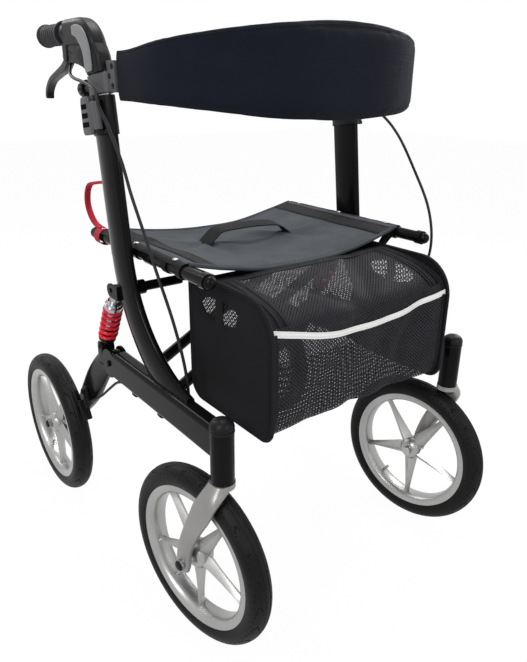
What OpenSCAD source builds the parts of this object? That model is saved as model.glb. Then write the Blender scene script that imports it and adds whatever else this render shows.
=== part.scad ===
// All terrain rollator with a cross folding frame and sprung rear arms.
// Millimetres. Front is -Y, rear is +Y, left is -X, the floor is Z = 0.
// Pieces are drawn with Y = 0 on the steering axis, then moved to the shared origin.
// A side frame is drawn with X = 0 in its own plane and +X towards the middle.

/* [Wheels] */
// Outside diameter of all four tyres
wheel_d = 304; // [280:1:320]
// Diameter of the tyre's round section
tyre_w = 40; // [36:1:42]
// Depth of the tread grooves
tread_depth = 2.5; // [1:0.5:4]
// Height of the tyre outside the rim's edge
tyre_side = 30; // [27:1:34]
// Width of rim and hub
rim_w = 34; // [30:1:36]
// Spokes in each rim
spokes = 5; // [3:1:8]
// Spoke width at the hub
spoke_root = 26; // [16:1:30]
// Spoke width at the rim
spoke_tip = 15; // [8:1:20]
// Hub flange diameter
hub_d = 46; // [40:1:60]

/* [Stance] */
// Distance between the two side frames
frame_track = 514; // [500:1:560]
// Gap between a swing arm and the side of its tyre
wheel_gap = 6; // [4:0.5:9]
// Steering axis to rear axle
wheelbase = 595; // [560:1:640]
// Steering axis to front axle
trail = 58; // [50:1:64]
// Turn of the front wheels at rest, degrees
caster_turn = 8; // [0:1:15]

/* [Side frame] */
// Height of the lower beam's centre line above the tyres
beam_rise = 75; // [72:1:84]
// Depth of the lower beam
beam_h = 53; // [48:1:56]
// Width of the lower beam
beam_w = 28; // [26:1:30]
// Outside diameter of the head tube
head_d = 35; // [33:1:40]
// Length of the head tube
head_h = 80; // [70:1:90]
// Fore and aft depth of the upright's oval tube
upright_depth = 60; // [56:1:62]
// Width of the upright's oval tube
upright_width = 21; // [20:1:21]
// Wall of the upright
upright_wall = 2.4; // [2:0.2:3]
// Lean of the upright, degrees
upright_lean = 7; // [6:0.5:8]
// Radius of the bend between beam and upright
bend_r = 241; // [210:1:270]
// Length of the upright's straight part
upright_len = 208; // [190:1:220]

/* [Suspension] */
// Arm pivot behind the steering axis
pivot_y = 340; // [335:1:345]
// Width of the swing arm
arm_w = 20; // [16:1:20]
// Wire diameter of the coil spring
spring_wire = 5; // [4:0.5:5.5]
// Turns of the coil spring
spring_turns = 6; // [5:1:7]

/* [Seat] */
// Height of the seat rails
rail_z = 590; // [580:1:600]
// Gap from a beam's inner face to the rail's centre line
rail_gap = 15; // [13:0.5:20]
// Diameter of the seat rails
rail_d = 20; // [18:1:20]
// Sag of the seat sling
seat_sag = 32; // [15:1:40]
// Lower brace pivots below the beam's centre line
brace_drop = 27; // [20:1:31]
// Diameter of the brace bars
brace_d = 20; // [16:1:20]

/* [Basket] */
// Gap from a rail's centre line to the basket's side panel
basket_gap = 40; // [36:1:48]
// Lowest point of the basket
basket_low = 360; // [352:1:368]
// Highest point of the basket's side panels
basket_top = 572; // [566:1:573]

/* [Handle] */
// Radius of the arch above the post
arch_r = 42; // [38:1:46]
// Diameter of the grip
grip_d = 33; // [30:1:36]
// Length of the grip
grip_len = 88; // [80:1:100]
// Diameter of the handle's bar
bar_d = 22; // [20:1:24]

/* [Backrest] */
// How far the band bows forward
band_bow = 212; // [200:1:225]
// Height of the band at its middle
band_h = 128; // [110:1:135]
// Thickness of the padded band
band_t = 16; // [10:1:18]

/* [Hidden] */
$fn = 64;

// Running clearance of a pin in its hole, on radius
run_gap = 0.05;
// Sliding clearance of the handle post, on each face
slide_gap = 0.3;
// Open gap between faces that pass each other
pass_gap = 0.5;

// Wheels and stance
wheel_r = wheel_d / 2;
tyre_r = tyre_w / 2;
rim_r = wheel_r - tyre_side;
side_x = frame_track / 2;
rear_x = arm_w / 2 + tyre_r + wheel_gap;
front_most = trail * cos(caster_turn) - (wheel_r - tyre_r) * cos(caster_turn) - tyre_r;
head_y = -(wheelbase + wheel_r + front_most) / 2;
axle_d = 10;
rear_axle_d = 12;
rim_lip = 3;
rim_well = 7;
rim_inner = 16;
spoke_t = 12;
spoke_rib = 18;

// Side frame
beam_z = wheel_d + beam_rise;
head_drop = 61;
head_bottom = beam_z - head_drop;
head_top = head_bottom + head_h;
head_bore = 26;
stem_d = head_bore - 2 * run_gap;
beam_round = 9;
cap_h = 21;
cap_ball = 23;
// The upright's straight part starts this far behind the steering axis
foot_y = 285.2;
bend_y = foot_y - bend_r * cos(upright_lean);
bend_z = beam_z + bend_r;
bend_from = -79;
// The upright stands this far inside the beam's plane
upright_in = 3;
upright_tip = 7;
foot_z = bend_z - bend_r * sin(upright_lean);
function upright_y(z) = bend_y + sqrt(bend_r * bend_r - pow(bend_z - z, 2));
bore_from = 8;
joint_lap = 5;
joint_step = 0.4;
post_inset = upright_wall + slide_gap;
collar_from = 180;
collar_len = 56;
collar_t = 3;

// Suspension: points are behind the steering axis, then height
// The arm's own line runs from pivot to axle; a point on it is given along and above that line
arm_pivot = [pivot_y, beam_z];
rear_hub = [wheelbase, wheel_r];
arm_len = norm(rear_hub - arm_pivot);
arm_dir = (rear_hub - arm_pivot) / arm_len;
arm_turn = atan2(-arm_dir[1], -arm_dir[0]);
function on_arm(a, h) = arm_pivot + a * arm_dir + h * [-arm_dir[1], arm_dir[0]];
arm_pin_d = 12;
arm_boss_r = 22;
slot_gap = 2;
cheek_gap = 0.5;
shock_rise = 144;
shock_out = 13.4;
shock_top = [upright_y(beam_z + shock_rise) + upright_depth / 2 + shock_out, beam_z + shock_rise];
shock_along = 16.5;
shock_above = 40.12;
shock_low = on_arm(shock_along, shock_above);
shock_pin_d = 8;
shock_eye_d = 18;
shock_eye_w = 17;
shock_len = norm(shock_low - shock_top);
shock_turn = atan2(shock_low[0] - shock_top[0], shock_top[1] - shock_low[1]);
shock_tube_d = 16;
shock_rod_d = 8;
seat_top = 44;
seat_low = 116;
seat_d = 31;
clevis_t = 3.5;
// Swing arm from pivot to axle: share of its length, height above its line, half depth
arm_path = [
  [0, 0, 19], [0.0705, 12.06, 23], [0.1771, 16.32, 25], [0.3279, 12.62, 25],
  [0.505, 4.86, 23], [0.7054, 0.18, 20], [0.8774, -1.11, 17], [0.9895, -0.5, 14]
];
shoe_reach = 24.8;
shoe_above = 4.6;
shoe_along = arm_len - wheel_r - shoe_reach;
shoe_pin = on_arm(shoe_along, shoe_above);
shoe_turn = 2.7;
shoe_sweep = 15;
shoe_pin_d = 8;
shoe_gap = 3;

// Seat, braces and basket
rail_in = beam_w / 2 + rail_gap;
rail_x = side_x - rail_in;
brace_z = beam_z - brace_drop;
basket_w = 2 * (rail_x - basket_gap);
rail_from = 68;
rail_to = 446;
stay_rise = 154;
stay_z = beam_z + stay_rise;
stay_y = upright_y(stay_z);
stay_d = 16;
// The stay ends this far outside the brace bar at its height
stay_gap = 38.2;
stay_len = side_x - stay_gap - rail_x * (2 * (stay_z - brace_z) / (rail_z - brace_z) - 1);
brace_y = 256;
brace_step = 24;
brace_pin_d = 12;
brace_sleeve_d = 22;
brace_ring_d = 24;
brace_ring_w = 23;
bolt_d = 10;
lug_t = 6;
lug_d = 22;
lug_root = 15;
sleeve_half = 60;
seat_from = 130;
seat_to = 440;
sling_t = 2.5;
loop_y = [340, 415];
loop_ring_w = 9;
loop_ring_d = 27;
loop_d = 7;
hanger_y = [97, 172];
hanger_w = 26;
hanger_d = 24;
basket_front = -26;
basket_back = 188;
panel_t = 4;
mesh_t = 3;

// Handle
clamp_from = 238;
clamp_len = 52;
clamp_t = 4.2;
arch_depth = 38;
arch_width = 28;
arch_base = clamp_from + clamp_len;
arch_y = foot_y + arch_base * sin(upright_lean) + arch_r * cos(upright_lean);
arch_z = foot_z + arch_base * cos(upright_lean) - arch_r * sin(upright_lean);
bar_z = arch_z + arch_r;
nose_len = 49.8;
nose_to = arch_y + nose_len;
collar_bar = 18;
grip_from = nose_to + collar_bar;
lever_back = 8;
lever_drop = 33;
lever_pin = [nose_to + lever_back, bar_z - lever_drop];
// Lever from its pin to its tip: behind, height, half depth
lever_path = [
  [0, 0, 7], [22, -15.35, 6.5], [56, -25.35, 5], [88, -35.35, 4.5], [108, -50.35, 4.5], [114, -64.35, 4]
];
lever_pin_d = 6;
lever_w = 13;
lever_cheek = 3;

// Backrest band: where its ends meet the brackets
band_in = 11;
band_ahead = 23.2;
band_rise = 270.4;
band_end_x = side_x - band_in;
band_end_y = foot_y - band_ahead;
band_mid_z = foot_z + band_rise;
seat_block = [20, 34, 43];
seat_block_drop = 30;
band_power = 2.6;

// Colours of the preview
gloss_black = [0.05, 0.05, 0.06];
matt_black = [0.10, 0.10, 0.11];
silver = [0.78, 0.78, 0.80];
grey = [0.45, 0.46, 0.48];
rubber = [0.08, 0.08, 0.08];
red = [0.80, 0.08, 0.10];
slate = [0.30, 0.33, 0.36];
navy = [0.06, 0.07, 0.12];

// Flat sections: depth lies along X, width along Y
module oval(grow = 0) {
  tip = upright_tip + grow;
  b = upright_width / 2 + grow;
  c = upright_depth / 2 - upright_tip;
  e = upright_width / 2 - upright_tip;
  k = (c * c - e * e) / (2 * e);
  rs = b + k;
  reach = c + tip * c / (rs - tip);
  for (s = [-1, 1]) translate([s * c, 0]) circle(tip);
  intersection() {
    translate([0, -k]) circle(rs, $fn = 128);
    translate([0, k]) circle(rs, $fn = 128);
    square([2 * reach, 2 * b], center = true);
  }
}

module round_rect(depth, width, r) {
  square([depth - 2 * r, width], center = true);
  square([depth, width - 2 * r], center = true);
  for (i = [-1, 1], j = [-1, 1])
    translate([i * (depth / 2 - r), j * (width / 2 - r)]) circle(r);
}

// Smooth curve through points; every number in a point is carried along
function blend(a, b, c, d, t) =
  0.5 * (2 * b + (c - a) * t + (2 * a - 5 * b + 4 * c - d) * t * t
    + (3 * b - a - 3 * c + d) * t * t * t);
function curve(p, n) = concat(
  [for (i = [0 : len(p) - 2], k = [0 : n - 1])
    blend(p[max(i - 1, 0)], p[i], p[i + 1], p[min(i + 2, len(p) - 1)], k / n)],
  [p[len(p) - 1]]);
function unit(v) = v / norm(v);
function along(p, i) = p[min(i + 1, len(p) - 1)] - p[max(i - 1, 0)];

// Outline of a curved strip; the third number of each point is half its width
function strip(p) =
  let (n = len(p),
    side = [for (i = [0 : n - 1])
      let (t = unit([along(p, i)[0], along(p, i)[1]])) [-t[1], t[0]] * p[i][2]],
    mid = [for (q = p) [q[0], q[1]]])
  concat(
    [for (i = [0 : n - 1]) mid[i] + side[i]],
    [for (i = [n - 1 : -1 : 0]) mid[i] - side[i]]);

// Rings of points joined into one closed skin
module skin(rings) {
  m = len(rings[0]);
  n = len(rings);
  polyhedron(
    points = [for (r = rings, q = r) q],
    faces = concat(
      [[for (j = [m - 1 : -1 : 0]) j]],
      [for (i = [0 : n - 2], j = [0 : m - 1])
        [i * m + j, i * m + (j + 1) % m, (i + 1) * m + j]],
      [for (i = [0 : n - 2], j = [0 : m - 1])
        [i * m + (j + 1) % m, (i + 1) * m + (j + 1) % m, (i + 1) * m + j]],
      [[for (j = [0 : m - 1]) (n - 1) * m + j]]));
}

// A soft square: 1 is a circle, smaller is squarer
function bulge(a, p) = sign(a) * pow(abs(a), p);

// Round cord through points in space
function cord_ring(p, i, r, m, ref) =
  let (t = unit(along(p, i)), u = unit(cross(t, ref)), v = cross(t, u))
  [for (j = [0 : m - 1]) p[i] + r * (cos(-360 * j / m) * u + sin(-360 * j / m) * v)];
module cord(p, d, m, ref) skin([for (i = [0 : len(p) - 1]) cord_ring(p, i, d / 2, m, ref)]);

// Strip drawn in the side view, behind and height, between two X planes
module plate(x0, x1) translate([x0, 0, 0]) rotate([90, 0, 90]) linear_extrude(x1 - x0) children();

// A bent tube in the side view, and a straight one
module bend(y, z, r, a, sweep)
  translate([0, y, z]) rotate([90, 0, 90]) rotate([0, 0, a])
    rotate_extrude(angle = sweep, $fn = 160) translate([r, 0]) children();
module run(y, z, a, len)
  translate([0, y, z]) rotate([90, 0, 90]) rotate([0, 0, a])
    rotate([0, 90, 0]) linear_extrude(len) rotate(90) children();

module pin_x(p, d, x0, x1) translate([x0, p[0], p[1]]) rotate([0, 90, 0]) cylinder(d = d, h = x1 - x0);
module pin_y(x, z, d, y0, y1) translate([x, y0, z]) rotate([-90, 0, 0]) cylinder(d = d, h = y1 - y0);

// The upright's own axis, measured from the top of its bend
module on_post(s) translate([0, foot_y + s * sin(upright_lean), foot_z + s * cos(upright_lean)])
  rotate([-upright_lean, 0, 0]) children();
module sleeve(s, len) on_post(s) linear_extrude(len) rotate(90) children();

// Places for a side frame's pieces
module left() translate([-side_x, head_y, 0]) children();
module right() translate([side_x, head_y, 0]) mirror([1, 0, 0]) children();
module left_post() left() translate([upright_in, 0, 0]) children();
module right_post() right() translate([upright_in, 0, 0]) children();
module middle() translate([0, head_y, 0]) children();
module left_caster() left() rotate([0, 0, caster_turn]) children();
module right_caster() translate([side_x, head_y, 0]) rotate([0, 0, caster_turn]) mirror([1, 0, 0]) children();

// Lower beam with head tube, arm clevis, brace lugs and brace pin
module beam_outer() {
  run(0, beam_z, 0, pivot_y) round_rect(beam_h, beam_w, beam_round);
  translate([0, 0, head_bottom]) cylinder(d = head_d, h = head_h);
  pin_x([pivot_y, beam_z], beam_h, -beam_w / 2, beam_w / 2);
}

module brace_lug(y) {
  pin_y(rail_in, brace_z, lug_d, y, y + lug_t);
  translate([beam_w / 2 - clevis_t, y, brace_z - lug_d / 2])
    cube([rail_in - beam_w / 2 + clevis_t, lug_t, lug_d + lug_root]);
}

module lower_beam() {
  slot_w = arm_w + 2 * cheek_gap;
  lug_y = sleeve_half + pass_gap;
  difference() {
    union() {
      beam_outer();
      brace_lug(brace_y - lug_y - lug_t);
      brace_lug(brace_y + lug_y);
      pin_y(rail_in, brace_z, brace_pin_d, brace_y - lug_y, brace_y + lug_y);
    }
    translate([0, 0, head_bottom - 1]) cylinder(d = head_bore, h = head_h + 2);
    translate([-slot_w / 2, pivot_y - arm_boss_r - slot_gap, beam_z - beam_h])
      cube([slot_w, 4 * arm_boss_r, 2 * beam_h]);
    pin_x([pivot_y, beam_z], arm_pin_d + 2 * run_gap, -beam_w, beam_w);
  }
}

module head_cap() difference() {
  translate([0, 0, head_top]) intersection() {
    cylinder(d = head_d, h = cap_h);
    translate([0, 0, cap_h - cap_ball]) sphere(cap_ball);
  }
  run(0, beam_z, 0, pivot_y) round_rect(beam_h, beam_w, beam_round);
}

// Curved oval upright with shock bracket and stay bar
module shock_bracket() {
  root_y = shock_top[0] - 26;
  back_y = shock_top[0] - shock_eye_d / 2 - 3;
  half = shock_eye_w / 2 + pass_gap;
  for (x = [-half - clevis_t, half]) {
    pin_x(shock_top, shock_eye_d + 6, x, x + clevis_t);
    translate([x, root_y, shock_top[1] - shock_eye_d / 2 - 3])
      cube([clevis_t, shock_top[0] - root_y, shock_eye_d + 6]);
  }
  translate([-half - clevis_t, root_y, shock_top[1] - shock_eye_d / 2 - 3])
    cube([2 * (half + clevis_t), back_y - root_y, shock_eye_d + 6]);
  pin_x(shock_top, shock_pin_d, -half - clevis_t - 2, half + clevis_t + 2);
}

module upright() {
  difference() {
    union() {
      translate([upright_in, 0, 0]) {
        bend(bend_y, bend_z, bend_r, bend_from, -upright_lean - bend_from) oval();
        sleeve(-joint_lap, upright_len + joint_lap) oval(joint_step);
      }
      shock_bracket();
      pin_x([stay_y, stay_z], stay_d, 0, stay_len);
      pin_x([stay_y, stay_z], stay_d + 8, 18, 30);
    }
    beam_outer();
    translate([upright_in, 0, 0]) sleeve(bore_from, upright_len) oval(-upright_wall);
  }
}

// Collar at the top of the upright, with the lock lever's hinge
lock_pin = [-19, -20];
lock_pin_d = 5;
lock_knuckle = 11;
lock_from = 8;
lock_h = 40;
lock_lug = 7;
module height_collar() difference() {
  union() {
    sleeve(collar_from, collar_len) oval(collar_t);
    on_post(collar_from) {
      for (z = [0, lock_from + lock_h + pass_gap]) translate([0, 0, z]) {
        translate([lock_pin[0], lock_pin[1], 0]) cylinder(d = lock_knuckle, h = lock_lug);
        translate([lock_pin[0], lock_pin[1] - lock_knuckle / 2, 0])
          cube([-lock_pin[0] - upright_width / 3, lock_knuckle, lock_lug]);
      }
      translate([lock_pin[0], lock_pin[1], 1]) cylinder(d = lock_pin_d, h = collar_len - 2);
    }
  }
  sleeve(collar_from - 1, upright_len - collar_from + 1) oval(joint_step);
  sleeve(upright_len - 1, collar_len) oval(-upright_wall);
}

module height_lock() on_post(collar_from + lock_from) difference() {
  union() {
    translate([lock_pin[0], lock_pin[1], 0]) cylinder(d = lock_knuckle, h = lock_h);
    linear_extrude(lock_h)
      polygon(strip(curve([
        [lock_pin[0], lock_pin[1], 4.5], [-21.5, -4, 4.5], [-21.5, 12, 5], [-19, 25, 4]], 6)));
  }
  translate([lock_pin[0], lock_pin[1], -1]) cylinder(d = lock_pin_d + 2 * run_gap, h = lock_h + 2);
  for (i = [0 : 2]) translate([-32, -8, 5 + i * 11]) cube([7, 22, 7]);
}

// Telescoping post, clamp bracket with knob, arch, cover, grip and brake lever
module handle_post() sleeve(bore_from + 4, arch_base - bore_from - 4) oval(-post_inset);

module backrest_bracket() {
  difference() {
    union() {
      sleeve(clamp_from, clamp_len) oval(clamp_t - post_inset);
      translate([band_in - upright_in - seat_block[0] / 2, band_end_y, band_mid_z - seat_block_drop])
        cube(seat_block);
    }
    sleeve(clamp_from - 1, clamp_len + 2) oval(-post_inset);
  }
  on_post(clamp_from + 14) {
    translate([0, upright_depth / 2 + clamp_t - post_inset - 1, 0])
      rotate([-90, 0, 0]) cylinder(d = 9, h = 16);
    translate([0, upright_depth / 2 + clamp_t + 11, 0]) rotate([-90, 0, 0]) cylinder(d = 24, h = 16);
  }
}

module handle_housing() difference() {
  union() {
    bend(arch_y, arch_z, arch_r, 90, 90 - upright_lean) round_rect(arch_depth, arch_width, 9);
    run(arch_y, bar_z, 0, nose_to - arch_y) round_rect(arch_depth, arch_width, 9);
    pin_y(0, bar_z, arch_width + 2, nose_to, grip_from);
    pin_y(0, bar_z, bar_d, grip_from, grip_from + grip_len - 4);
    for (s = [-1, 1]) {
      x = s * (lever_w / 2 + pass_gap + lever_cheek / 2) - lever_cheek / 2;
      pin_x(lever_pin, 18, x, x + lever_cheek);
      translate([x, lever_pin[0] - 9, lever_pin[1]]) cube([lever_cheek, 17, bar_z - lever_pin[1] - 8]);
    }
    pin_x(lever_pin, lever_pin_d, -lever_w / 2 - 4, lever_w / 2 + 4);
  }
}

module handle_cover() bend(arch_y, arch_z, arch_r, 96, 68)
  translate([-10, -arch_width / 2 - 2.5]) square([20, 2.5]);

module grip() translate([0, grip_from, bar_z]) rotate([-90, 0, 0]) difference() {
  union() {
    cylinder(d = grip_d, h = grip_len - 8);
    cylinder(d = grip_d + 5, h = 6);
    translate([0, 0, grip_len - 8]) cylinder(d = grip_d + 3, h = 8);
  }
  translate([0, 0, -1]) cylinder(d = bar_d, h = grip_len - 3);
  for (i = [0 : floor((grip_len - 24) / 9)]) translate([0, 0, 12 + i * 9]) rotate_extrude()
    translate([grip_d / 2 - 1, 0]) square([3, 3]);
}

module brake_lever() difference() {
  union() {
    pin_x(lever_pin, 15, -lever_w / 2, lever_w / 2);
    plate(-lever_w / 2, lever_w / 2)
      polygon(strip(curve([for (q = lever_path) [lever_pin[0] + q[0], lever_pin[1] + q[1], q[2]]], 6)));
  }
  pin_x(lever_pin, lever_pin_d + 2 * run_gap, -lever_w, lever_w);
}

// Caster fork: stem, crown and one cast leg on the outer side of the wheel
// Leg from crown to axle: height above the axle, centre across, share of the trail, half across,
// half fore and aft
leg_path = [
  [165, -2, 0, 17, 17], [157, -8, 0.017, 17, 18], [149, -17, 0.034, 14, 19.5], [139, -26, 0.069, 9.5, 20.5],
  [126, -31, 0.155, 7, 21], [106, -32, 0.31, 6.5, 20], [84, -32, 0.517, 6.5, 18], [62, -32, 0.707, 6.5, 16.5],
  [38, -32, 0.879, 6.5, 15], [16, -31.5, 0.983, 6.5, 14.5], [-2, -31, 1.017, 6.5, 14], [-14, -31, 1, 5, 9]
];
// Height of the head tube's lower end above the front axle in the path above
leg_rise = 166;
leg_face = 38.1;
axle_head = 17;
module fork() {
  sides = 24;
  rings = [for (q = curve(leg_path, 3)) [for (j = [0 : sides - 1])
    let (a = -360 * j / sides)
    [q[1] + q[3] * bulge(cos(a), 0.75), trail * q[2] + q[4] * bulge(sin(a), 0.75),
      wheel_r + q[0] * (head_bottom - wheel_r) / leg_rise]]];
  difference() {
    union() {
      translate([0, 0, head_bottom - 10]) cylinder(d = stem_d, h = head_h + 6);
      translate([0, 0, head_bottom - 9]) cylinder(d = head_d + 2, h = 9 - pass_gap);
      skin([for (i = [len(rings) - 1 : -1 : 0]) rings[i]]);
    }
    pin_x([trail, wheel_r], axle_d, -60, 20);
  }
}

module front_axle() {
  pin_x([trail, wheel_r], axle_d, -leg_face - 1, rim_w / 2 + 6);
  pin_x([trail, wheel_r], axle_head, -leg_face - 4, -leg_face);
  pin_x([trail, wheel_r], axle_head, -24.5, -rim_w / 2 - 0.3);
  pin_x([trail, wheel_r], axle_head, rim_w / 2 + 0.3, rim_w / 2 + 7);
}

// Wheel on an axis along X through the origin
function rim_section(inner) = [
  [inner, -rim_w / 2], [rim_r, -rim_w / 2], [rim_r, -rim_w / 2 + rim_lip],
  [rim_r - rim_well, -rim_w / 2 + 2 * rim_lip], [rim_r - rim_well, rim_w / 2 - 2 * rim_lip],
  [rim_r, rim_w / 2 - rim_lip], [rim_r, rim_w / 2], [inner, rim_w / 2]
];
module rim(bore, turn) rotate([turn, 0, 0]) rotate([0, 90, 0]) difference() {
  union() {
    rotate_extrude($fn = 128) polygon(concat(rim_section(rim_r - rim_inner + 6),
      [[rim_r - rim_inner, rim_w / 4], [rim_r - rim_inner, -rim_w / 4]]));
    rotate_extrude() polygon([
      [0, -rim_w / 2], [hub_d / 3, -rim_w / 2], [hub_d / 2, -rim_w / 3],
      [hub_d / 2, rim_w / 3], [hub_d / 3, rim_w / 2], [0, rim_w / 2]]);
    for (i = [0 : spokes - 1]) rotate([0, 0, i * 360 / spokes]) {
      linear_extrude(spoke_t, center = true) polygon([
        [hub_d / 3, -spoke_root / 2], [rim_r - rim_inner + 2, -spoke_tip / 2],
        [rim_r - rim_inner + 2, spoke_tip / 2], [hub_d / 3, spoke_root / 2]]);
      linear_extrude(spoke_rib, center = true) polygon([
        [hub_d / 3, -spoke_root / 5], [rim_r - rim_inner + 2, -spoke_tip / 5],
        [rim_r - rim_inner + 2, spoke_tip / 5], [hub_d / 3, spoke_root / 5]]);
    }
  }
  cylinder(d = bore + 2 * run_gap, h = 2 * rim_w, center = true);
}

module tyre() rotate([0, 90, 0]) difference() {
  rotate_extrude($fn = 128) translate([wheel_r - tyre_r, 0]) circle(tyre_r);
  rotate_extrude($fn = 128) polygon(rim_section(rim_r / 2));
  for (h = [-1, 0, 1]) rotate_extrude($fn = 128)
    translate([wheel_r - tread_depth - abs(h) * 1.7, h * tyre_w / 5 - 1.5]) square([2 * tyre_r, 3]);
}

module at_front_axle() translate([0, trail, wheel_r]) children();
module at_rear_axle() translate([-rear_x, wheelbase, wheel_r]) children();

// Swing arm with pivot pin, shock clevis, brake pin and axle bore
module swing_arm() {
  sides = 20;
  path = [for (q = arm_path) let (m = on_arm(q[0] * arm_len, q[1])) [m[0], m[1], q[2]]];
  p = curve(path, 3);
  rings = [for (i = [0 : len(p) - 1])
    let (t = unit([along(p, i)[0], along(p, i)[1]]), n = [-t[1], t[0]])
    [for (j = [0 : sides - 1])
      let (a = -360 * j / sides, u = p[i][2] * bulge(cos(a), 0.7), w = (arm_w / 2 - 0.6) * bulge(sin(a), 0.7))
      [w, p[i][0] + n[0] * u, p[i][1] + n[1] * u]]];
  half = shock_eye_w / 2 + pass_gap;
  difference() {
    union() {
      skin(rings);
      pin_x([pivot_y, beam_z], 2 * arm_boss_r, -arm_w / 2, arm_w / 2);
      pin_x([wheelbase, wheel_r], 34, -arm_w / 2, arm_w / 2);
      pin_x([pivot_y, beam_z], arm_pin_d, -beam_w / 2 - 4, beam_w / 2 + 4);
      for (x = [-half - clevis_t, half]) {
        pin_x(shock_low, shock_eye_d + 4, x, x + clevis_t);
        translate([x, shock_low[0] - 11, shock_low[1] - 34]) cube([clevis_t, 22, 34]);
      }
      pin_x(shock_low, shock_pin_d, -half - clevis_t - 2, half + clevis_t + 2);
      pin_x(shoe_pin, shoe_pin_d, -arm_w / 2 - 11, -arm_w / 4);
    }
    pin_x([wheelbase, wheel_r], rear_axle_d, -60, 30);
    intersection() {
      pin_x(shock_low, shock_eye_d + 3, -half, half);
      translate([-half, shock_low[0] - 30, shock_low[1] - 30]) cube([2 * half, 60, 60]);
    }
  }
}

module rear_axle() {
  a = [wheelbase, wheel_r];
  hub_in = -rear_x + rim_w / 2;
  hub_out = -rear_x - rim_w / 2;
  pin_x(a, rear_axle_d, hub_out - 6, arm_w / 2 + 5);
  pin_x(a, 20, arm_w / 2, arm_w / 2 + 6);
  pin_x(a, 20, hub_in + 0.3, -arm_w / 2);
  pin_x(a, 20, hub_out - 7, hub_out - 0.3);
}

// Brake shoe on the front of the rear tyre; its strip is given from its pin, along and above the arm
shoe_path = [[0, 0, 7], [10.23, -19, 7], [17.75, -29.7, 3.5]];
module brake_shoe() difference() {
  union() {
    translate([0, wheelbase, wheel_r]) rotate([90, 0, 90]) rotate([0, 0, arm_turn + shoe_turn])
      rotate_extrude(angle = shoe_sweep, $fn = 128) translate([wheel_r + shoe_gap, -rear_x - rim_w / 2])
        square([9, rear_x + rim_w / 2 - arm_w / 2 - 4]);
    pin_x(shoe_pin, 18, -arm_w / 2 - 9, -arm_w / 2 - 2);
    plate(-arm_w / 2 - 9, -arm_w / 2 - 2) polygon(strip([for (q = shoe_path)
      let (m = on_arm(shoe_along + q[0], shoe_above + q[1])) [m[0], m[1], q[2]]]));
  }
  pin_x(shoe_pin, shoe_pin_d + 2 * run_gap, -60, 0);
}

// Shock absorber: tube, rod and one unbroken coil
module on_shock() translate([0, shock_top[0], shock_top[1]]) rotate([shock_turn, 0, 0]) children();
module shock_body() difference() {
  union() {
    pin_x(shock_top, shock_eye_d, -shock_eye_w / 2, shock_eye_w / 2);
    on_shock() translate([0, 0, -88]) cylinder(d = shock_tube_d, h = 84);
    on_shock() translate([0, 0, -seat_top]) cylinder(d = seat_d, h = 8);
    on_shock() translate([0, 0, -seat_top + 8]) cylinder(d = seat_d - 5, h = 6);
  }
  pin_x(shock_top, shock_pin_d, -30, 30);
  on_shock() translate([0, 0, -89]) cylinder(d = shock_rod_d + 2 * run_gap, h = 30);
}

module shock_rod() difference() {
  union() {
    on_shock() translate([0, 0, -shock_len + 4]) cylinder(d = shock_rod_d, h = shock_len - 80);
    on_shock() translate([0, 0, -seat_low - 6]) cylinder(d = seat_d, h = 6);
    on_shock() translate([0, 0, -shock_len]) cylinder(d = shock_eye_d - 3, h = shock_len - seat_low - 3);
    pin_x(shock_low, shock_eye_d - 1, -shock_eye_w / 2, shock_eye_w / 2);
  }
  pin_x(shock_low, shock_pin_d + 0.6, -30, 30);
}

coil_r = seat_d / 2 - 0.5 - spring_wire / 2;
coil_rings = 8;
coil_n = spring_turns * coil_rings;
coil_rise = seat_low - seat_top - spring_wire;
function coil_at(i) =
  let (a = 360 * i / coil_rings)
  [coil_r * cos(a), coil_r * sin(a), -seat_low + spring_wire / 2 + coil_rise * i / coil_n];
coil_turn = [for (i = [0 : coil_n]) coil_at(i)];
coil_path = concat(
  [coil_turn[0] + spring_wire * unit([coil_turn[0][1], -coil_turn[0][0], 0])],
  coil_turn,
  [coil_turn[coil_n] + spring_wire * unit([-coil_turn[coil_n][1], coil_turn[coil_n][0], 0])]);
coil_gap = min([for (i = [0 : coil_n - 6], j = [i + 6 : coil_n])
  norm(coil_turn[i] - coil_turn[j])]) - spring_wire;
echo(coil_gap = coil_gap);
module spring() on_shock() skin([for (i = [0 : len(coil_path) - 1])
  let (a = 360 * min(max(i - 1, 0), coil_n) / coil_rings)
  [for (j = [0 : 5]) coil_path[i] + spring_wire / 2 * [
    cos(60 * j) * cos(a), cos(60 * j) * sin(a), sin(60 * j)]]]);

// Cross braces: two bars each, a sleeve on the lower pin and rings round the upper rail
brace_span = [2 * rail_x, rail_z - brace_z];
brace_len = norm(brace_span);
brace_rise = atan2(brace_span[1], brace_span[0]);
module brace(step) {
  bars = [brace_y - step, brace_y + step];
  difference() {
    union() {
      for (y = bars) {
        translate([-rail_x, y, brace_z]) rotate([0, 90 - brace_rise, 0]) cylinder(d = brace_d, h = brace_len);
        pin_y(rail_x, rail_z, brace_ring_d, y - brace_ring_w / 2, y + brace_ring_w / 2);
      }
      pin_y(-rail_x, brace_z, brace_sleeve_d, brace_y - sleeve_half, brace_y + sleeve_half);
    }
    pin_y(-rail_x, brace_z, brace_pin_d + 2 * run_gap, 0, 2 * brace_y);
    pin_y(rail_x, rail_z, rail_d + 2 * run_gap, 0, 2 * brace_y);
    pin_y(0, (brace_z + rail_z) / 2, bolt_d + 2 * run_gap, 0, 2 * brace_y);
  }
}

module bolt() {
  z = (brace_z + rail_z) / 2;
  reach = 2 * brace_step + brace_d / 2 + 1;
  pin_y(0, z, bolt_d, brace_y - reach, brace_y + reach);
  pin_y(0, z, bolt_d + 8, brace_y - reach - 5, brace_y - reach);
  pin_y(0, z, bolt_d + 8, brace_y + reach, brace_y + reach + 5);
}

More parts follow.
